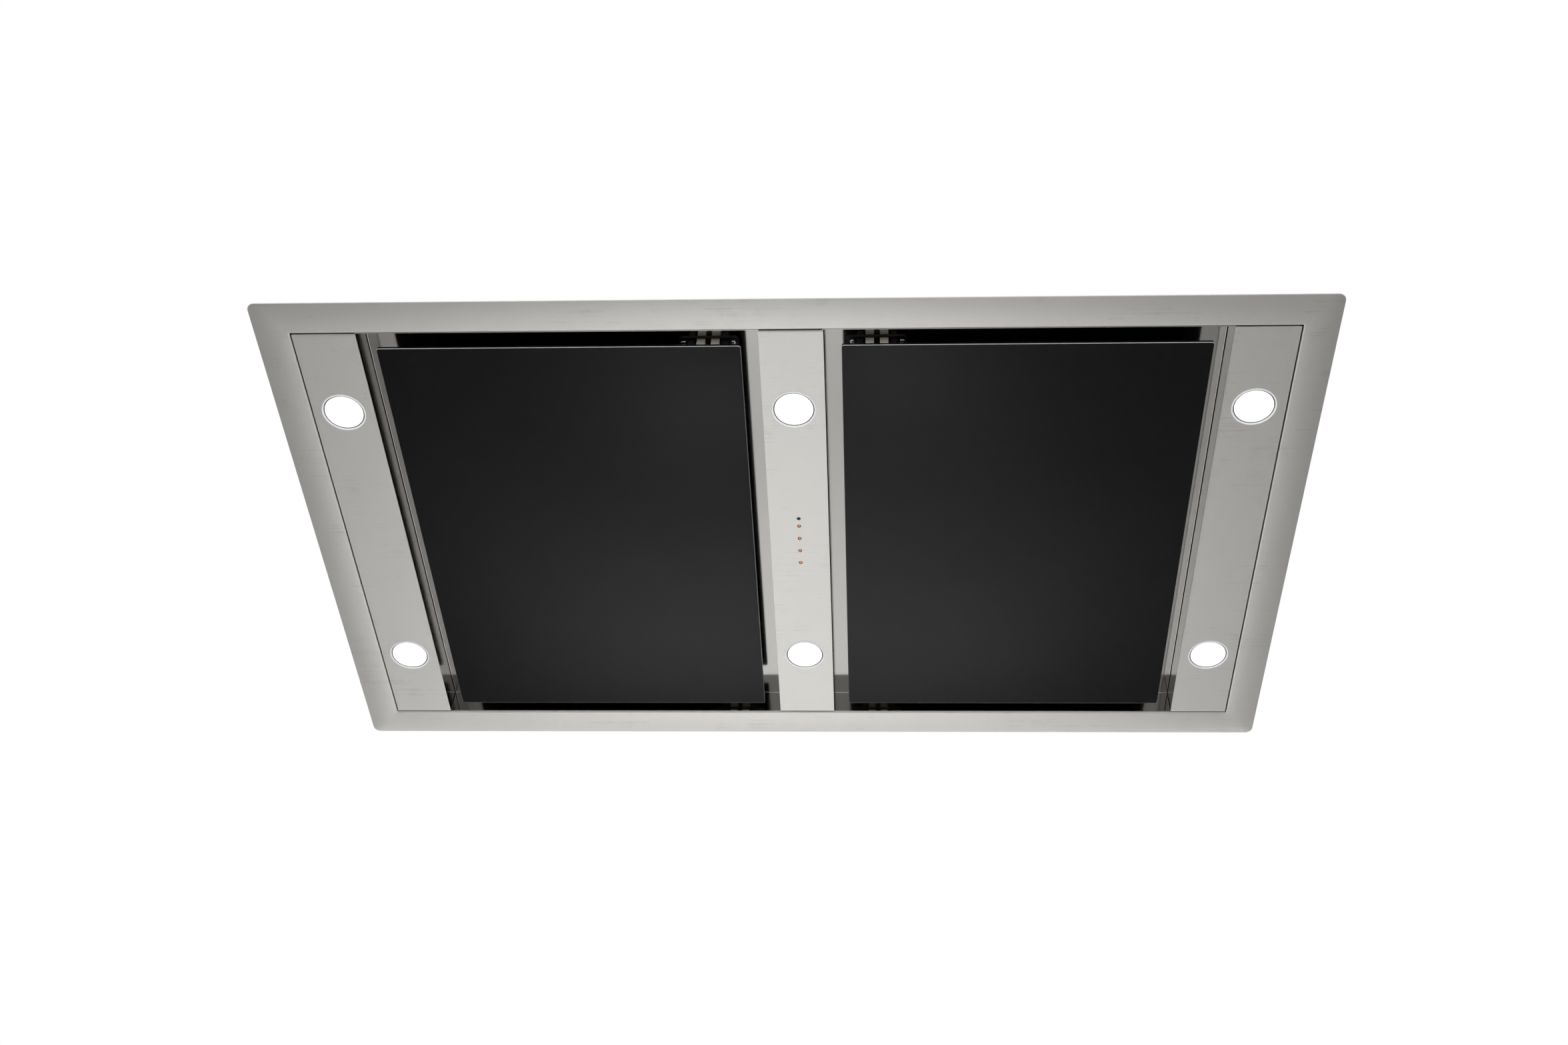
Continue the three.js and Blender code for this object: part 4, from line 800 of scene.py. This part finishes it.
class HOOD_OT_rivets(Operator):
    """Blind rivets in the top plate, the hanging rails, the outlet collar and the casing's walls."""

    bl_idname = "hood.rivets"
    bl_label = "Casing rivets"

    def execute(self, context):
        head = rivet_head(context.scene.hood_sizes.rivet_radius)
        self.top_plate(*head)
        self.rails(*head)
        self.collar(*head)
        self.walls(*head)
        return {"FINISHED"}

    def add(self, name, points, faces, places):
        """One piece of all the rivets at the places."""
        moved = copies_at(points, faces, places)
        piece(name, [(*moved, 0)], "hood", [MATERIALS["screw_steel"]], 50)

    def top_plate(self, points, faces):
        """Nine along each long edge of the top plate and three along each short one."""
        low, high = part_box("housing_walls")
        gap, sheet, inset, pitch = 0.3 * MM, 1 * MM, 8 * MM, 150 * MM
        height = high.z + gap + sheet
        xs = np.linspace(low.x + 2 * inset, high.x - 2 * inset, 9)
        places = [(x, y, height) for x in xs for y in (low.y + inset, high.y - inset)]
        places += [(x, y, height) for y in (-pitch, 0.0, pitch) for x in (low.x + inset, high.x - inset)]
        self.add("top_plate_rivets", points, faces, places)

    def rails(self, points, faces):
        """Six in each foot of each hanging rail."""
        sheet, inset, end = 2 * MM, 9 * MM, 30 * MM
        for side in SIDES:
            low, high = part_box("hanging_rail_" + side)
            ys = np.linspace(low.y + end, high.y - end, 6)
            places = [(x, y, low.z + sheet) for y in ys for x in (low.x + inset, high.x - inset)]
            self.add("rail_rivets_" + side, points, faces, places)

    def collar(self, points, faces):
        """Eight round the outlet collar's square plate."""
        low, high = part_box("outlet_collar")
        sheet, inset = 1.2 * MM, 9 * MM
        xs = (low.x + inset, 0.0, high.x - inset)
        places = [(x, y, low.z + sheet) for x in xs for y in (low.y + inset, high.y - inset)]
        places += [(x, 0.0, low.z + sheet) for x in (low.x + inset, high.x - inset)]
        self.add("collar_rivets", points, faces, places)

    def walls(self, points, faces):
        """Five up each end of the near and the far wall."""
        low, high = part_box("housing_walls")
        lowest, highest, inset = 60 * MM, high.z - 40 * MM, 10 * MM
        heights = np.linspace(lowest, highest, 5)
        for name, y, axis in (("near", low.y, (0, -1, 0)), ("far", high.y, (0, 1, 0))):
            places = [(x, y, z) for z in heights for x in (low.x + inset, high.x - inset)]
            self.add("wall_rivets_" + name, facing(points, axis), faces, places)


class HOOD_OT_filters(Operator):
    """Expanded aluminium mesh of the grease filters, strand by strand."""

    bl_idname = "hood.filters"
    bl_label = "Filter mesh"

    def execute(self, context):
        width = context.scene.hood_sizes.strand_width
        for side in SIDES:
            node = "filter_mesh_" + side
            low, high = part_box(node)
            points, faces = self.strands(low, high, width)
            piece("filter_strands_" + side, [(points, faces, 0)], "hood", [MATERIALS["aluminium"]],
                  20, [node])
        return {"FINISHED"}

    def strands(self, low, high, width):
        """Strand k zigzags along Y about its own x; its height follows the pleats, a triangle wave in x."""
        pitch, step, pleat = 4.7 * MM, 3.4 * MM, 14.1 * MM
        inset = 0.6 * MM
        count = int((high.x - low.x - 2 * inset - pitch) / pitch)
        knots = int((high.y - low.y - 2 * inset) / step)
        k, n = np.meshgrid(np.arange(count), np.arange(knots), indexing="ij")
        sway = np.where((n + k) % 2 == 0, 1, -1) * (pitch / 2 - width / 2)
        x = low.x + inset + pitch + k * pitch + sway
        y = low.y + inset + n * step
        wave = np.abs(((x - low.x) / pleat) % 1.0 * 2 - 1)
        z = low.z + width / 2 + wave * (high.z - low.z - width)
        spine = np.stack([x, y, z], axis=2)
        section = np.array([[-0.5, 0, -0.3], [0.5, 0, -0.3], [0, 0, 0.5]]) * width
        grid = spine[:, :, None, :] + section[None, None]
        firsts = np.arange(count) * knots * 3
        strand = grid_faces(knots, 3, False, True)
        sides = (strand[None] + firsts[:, None, None]).reshape(-1, 4)
        last = 3 * (knots - 1)
        ends = [range(end, end + 3) for first in firsts for end in (first, first + last)]
        return grid.reshape(-1, 3), [*sides, *ends]


class HOOD_OT_outlet(Operator):
    """Outlet collar with a smooth beaded spigot, and the cable gland with its ribbed cap."""

    bl_idname = "hood.outlet"
    bl_label = "Outlet collar and gland"

    def execute(self, context):
        self.collar()
        self.gland()
        return {"FINISHED"}

    def collar(self):
        """Square plate that morphs into a circle, then the turned spigot with its bead and stop ring."""
        low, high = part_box("outlet_collar")
        foot, top, half = low.z, high.z, high.x
        wall, radius, steps = 1.2 * MM, 75 * MM, 96
        inner = radius - wall
        corner_reach = 1.37 * half
        angle = full_turn(steps)
        c, s = np.cos(angle), np.sin(angle)
        reach = np.minimum(half / np.maximum(np.abs(c), np.abs(s)), corner_reach)
        plate = []
        for r, z in ((inner, foot), (reach, foot), (reach, foot + wall), (radius, foot + wall)):
            plate.append(np.stack([r * c, r * s, np.full(steps, z)], axis=1))
        grid = np.concatenate([plate, turned_profile(self.spigot(foot, top, radius, inner), steps)])
        parts = [(grid, closed_tube_faces(grid), 0), self.flap_pin(inner, foot + 14 * MM)]
        piece("duct_collar", parts, "hood", [MATERIALS["galvanised_steel"]], 35,
              ["outlet_collar"])

    def spigot(self, foot, top, radius, inner):
        """Profile up the outside with its bead, a half sine wave, and down the inside with its stop ring."""
        bead_foot, bead_width, bead_rise = top - 12 * MM, 4 * MM, 1 * MM
        ring_top, ring_edge, ring_foot = foot + 13 * MM, foot + 12 * MM, foot + 9.5 * MM
        ring = inner - 2.5 * MM
        bead = [(radius + bead_rise * math.sin(t), bead_foot + bead_width * t / math.pi)
                for t in np.linspace(0, math.pi, 7)]
        return [*bead, (radius, top), (inner, top), (inner, ring_top), (ring, ring_top), (ring, ring_edge),
                (inner, ring_foot), (inner, foot)]

    def flap_pin(self, reach, height):
        """Round pin along X that the two damper flaps hang on."""
        radius = 1.5 * MM
        pin = turned_profile([(0, -reach), (radius, -reach), (radius, reach), (0, reach)], 16)
        pin = np.stack([pin[..., 2], pin[..., 1], pin[..., 0] + height], axis=2)
        return pin, turned_faces(pin), 0

    def gland(self):
        """Turned gland, to whose cap's radius a cosine of the angle is added, so that it has grip ribs."""
        low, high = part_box("cable_gland")
        centre = box_middle(low, high)
        bore, rim, top = 4 * MM, (high.x - low.x) / 2, high.z
        thread, shelf, cap = 0.7 * rim, top - 14 * MM, top - 9 * MM
        steps, ribs, rib_height = 96, 24, 0.35 * MM
        rows = [
            (bore, low.z, 0), (thread, low.z, 0), (thread, shelf, 0), (0.96 * rim, shelf, 0),
            (0.96 * rim, cap - 0.6 * MM, 0), (0.9 * rim, cap, 0), (0.68 * rim, cap, 1),
            (0.66 * rim, top - 4 * MM, 1), (0.5 * rim, top - 1 * MM, 0),
            (bore + 1 * MM, top, 0), (bore, top, 0),
        ]
        radius, height, ribbed = np.array(rows).T[:, :, None]
        angle = full_turn(steps)
        reach = radius + ribbed * rib_height * np.cos(ribs * angle)
        grid = np.broadcast_arrays(reach * np.cos(angle), reach * np.sin(angle), height)
        grid = np.stack(grid, axis=2) + centre
        piece("gland_body", [(grid, closed_tube_faces(grid), 0)], "hood", [MATERIALS["black_plastic"]],
              35, ["cable_gland"])


class HOOD_OT_stage(Operator):
    """Plain pale floor and ceiling, soft lamps, white surround and the camera that looks up at the hood."""

    bl_idname = "hood.stage"
    bl_label = "Stage"

    def execute(self, context):
        stage = context.scene.hood_stage
        self.camera(context)
        if stage.build:
            self.world(context, stage.ambient)
            self.floor()
            self.ceiling()
            self.lamps(stage)
        context.scene.view_settings.view_transform = "Standard"
        return {"FINISHED"}

    def camera(self, context):
        """Camera under the near side, tilted up past the level and turned a little to the left."""
        tilt, roll, heading = 139.1453, -1.6339, 1.6795
        data = bpy.data.cameras.new("hood_camera")
        data.lens = 37.35
        data.sensor_width = 36.0
        data.shift_x = -0.0170
        made = new_object("hood_camera", data)
        made.location = (0.094767, -1.320099, -1.494581)
        made.rotation_euler = [math.radians(turn) for turn in (tilt, roll, heading)]
        context.scene.camera = made

    def world(self, context, ambient):
        """White where the camera, a mirror or glass looks, and a gentler light for everything else."""
        world = bpy.data.worlds.new("hood_world")
        world.use_nodes = True
        tree = world.node_tree
        strength = math_node(tree, "MULTIPLY_ADD", seen_ray(tree), 1.0 - ambient, ambient)
        feed_inputs(tree, tree.nodes["Background"], Strength=strength, Color=(1, 1, 1, 1))
        context.scene.world = world

    def sheet(self, name, grid, faces, material):
        """Stage surface, which belongs to no body of the hood."""
        mesh = bpy.data.meshes.new(name)
        mesh.from_pydata(grid.reshape(-1, 3).tolist(), [], faces.tolist())
        mesh.materials.append(material)
        new_object(name, mesh)

    def floor(self):
        """Level floor well under the hood, clear when it is looked at from underneath."""
        lines = np.linspace(-STAGE_REACH, STAGE_REACH, 21)
        x, y = np.meshgrid(lines, lines, indexing="ij")
        grid = np.stack([x, y, np.full(x.shape, FLOOR_LEVEL)], axis=2)
        faces_up = grid_faces(*x.shape, False, False)[:, ::-1]
        material, tree, shader = pale_material("studio_floor")
        clear = tree.nodes.new("ShaderNodeBsdfTransparent")
        below = tree.nodes.new("ShaderNodeNewGeometry").outputs["Backfacing"]
        mixed_surface(tree, below, shader.outputs["BSDF"], clear.outputs["BSDF"])
        self.sheet("studio_floor", grid, faces_up, material)

    def ceiling(self):
        """Ceiling round the flange, and its strip over the flange, which is clear from above."""
        _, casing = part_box("housing_walls")
        _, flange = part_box("ceiling_flange")
        clear, level, corner, inner_corner = 4 * MM, 2.2 * MM, 9 * MM, 2 * MM
        inner = casing.x + clear - flange.x
        around = [(0, level, corner), (STAGE_REACH, level, corner)]
        over = [(inner, level, inner_corner), (0, level, corner)]
        self.ceiling_sheet("studio_ceiling", carried_profile(around, flange.x, flange.y, 4), False)
        self.ceiling_sheet("studio_ceiling_strip", carried_profile(over, flange.x, flange.y, 4), True)

    def ceiling_sheet(self, name, grid, clear_from_above):
        """Sheet that looks white from below, and from above either pale or clear."""
        material, tree, shader = pale_material(name)
        white = tree.nodes.new("ShaderNodeEmission")
        clear = tree.nodes.new("ShaderNodeBsdfTransparent")
        side = tree.nodes.new("ShaderNodeNewGeometry").outputs["Backfacing"]
        below = math_node(tree, "SUBTRACT", 1.0, side)
        above = clear if clear_from_above else shader
        mixed_surface(tree, math_node(tree, "MULTIPLY", seen_ray(tree), below), above.outputs["BSDF"],
                      white.outputs["Emission"])
        self.sheet(name, grid, turned_faces(grid), material)

    def lamps(self, stage):
        """Soft square lamps: under the hood, behind the camera, onto the floor, to both sides and above."""
        hood = Vector((0, 0, 0.1))
        near_band = Vector((0, -0.28, 0))
        near_floor = Vector((-0.25, 1.15, FLOOR_LEVEL))
        far_floor = Vector((-0.3, 3.0, FLOOR_LEVEL))
        self.area("key_lamp", (0.0, -0.9, -2.3), hood, 2.4, stage.key_power)
        self.area("near_lamp", (0.1, -1.9, -1.2), near_band, 0.5, stage.near_power, mirrored=False)
        self.area("pool_lamp", (-0.25, 1.15, -1.9), near_floor, 0.3, stage.pool_power, mirrored=False)
        for side, x in zip(SIDES, (-2.6, 2.6)):
            self.area(side + "_lamp", (x, -1.4, 1.6), hood, 1.8, stage.side_power)
        self.area("top_lamp", (0.4, 0.6, 2.8), hood, 2.2, stage.top_power)
        self.area("bounce_lamp", (-0.3, 3.0, -1.5), far_floor, 2.0, stage.bounce_power, mirrored=False)

    def area(self, name, place, target, size, power, mirrored=True):
        """Square lamp at a place, turned to its target, seen in mirrors only where that is wanted."""
        data = bpy.data.lights.new(name, "AREA")
        data.energy = power
        data.size = size
        made = new_object(name, data)
        made.location = place
        made.rotation_euler = (target - Vector(place)).to_track_quat("-Z", "Y").to_euler()
        made.visible_camera = False
        made.visible_glossy = mirrored


class HOOD_PT_sidebar(Panel):
    """Lists the steps that dress the hood and the values that they use."""

    bl_idname = "HOOD_PT_sidebar"
    bl_label = "Range hood"
    bl_space_type = "VIEW_3D"
    bl_region_type = "UI"
    bl_category = "Hood"

    def draw(self, context):
        layout = self.layout
        for step in STEPS:
            layout.operator(step.bl_idname)
        for group in (context.scene.hood_sizes, context.scene.hood_colours, context.scene.hood_stage):
            box = layout.box()
            for name in group.bl_rna.properties.keys():
                if name not in {"rna_type", "name"}:
                    box.prop(group, name)


STEPS = (
    HOOD_OT_finishes,
    HOOD_OT_flange,
    HOOD_OT_glass,
    HOOD_OT_lamps,
    HOOD_OT_catches,
    HOOD_OT_screws,
    HOOD_OT_rivets,
    HOOD_OT_filters,
    HOOD_OT_outlet,
    HOOD_OT_stage,
)
GROUPS = (("hood_sizes", HoodSizes), ("hood_colours", HoodColours), ("hood_stage", HoodStage))


def register():
    """Registers the property groups, the operators and the panel."""
    for name, group in GROUPS:
        bpy.utils.register_class(group)
        setattr(bpy.types.Scene, name, PointerProperty(type=group))
    for cls in (*STEPS, HOOD_PT_sidebar):
        bpy.utils.register_class(cls)


def unregister():
    """Takes the panel, the operators and the property groups out again."""
    for cls in (HOOD_PT_sidebar, *reversed(STEPS)):
        bpy.utils.unregister_class(cls)
    for name, group in reversed(GROUPS):
        delattr(bpy.types.Scene, name)
        bpy.utils.unregister_class(group)


def main():
    """Registers the add-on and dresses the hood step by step."""
    register()
    for step in STEPS:
        group, name = step.bl_idname.split(".")
        getattr(getattr(bpy.ops, group), name)()


if __name__ == "__main__":
    main()
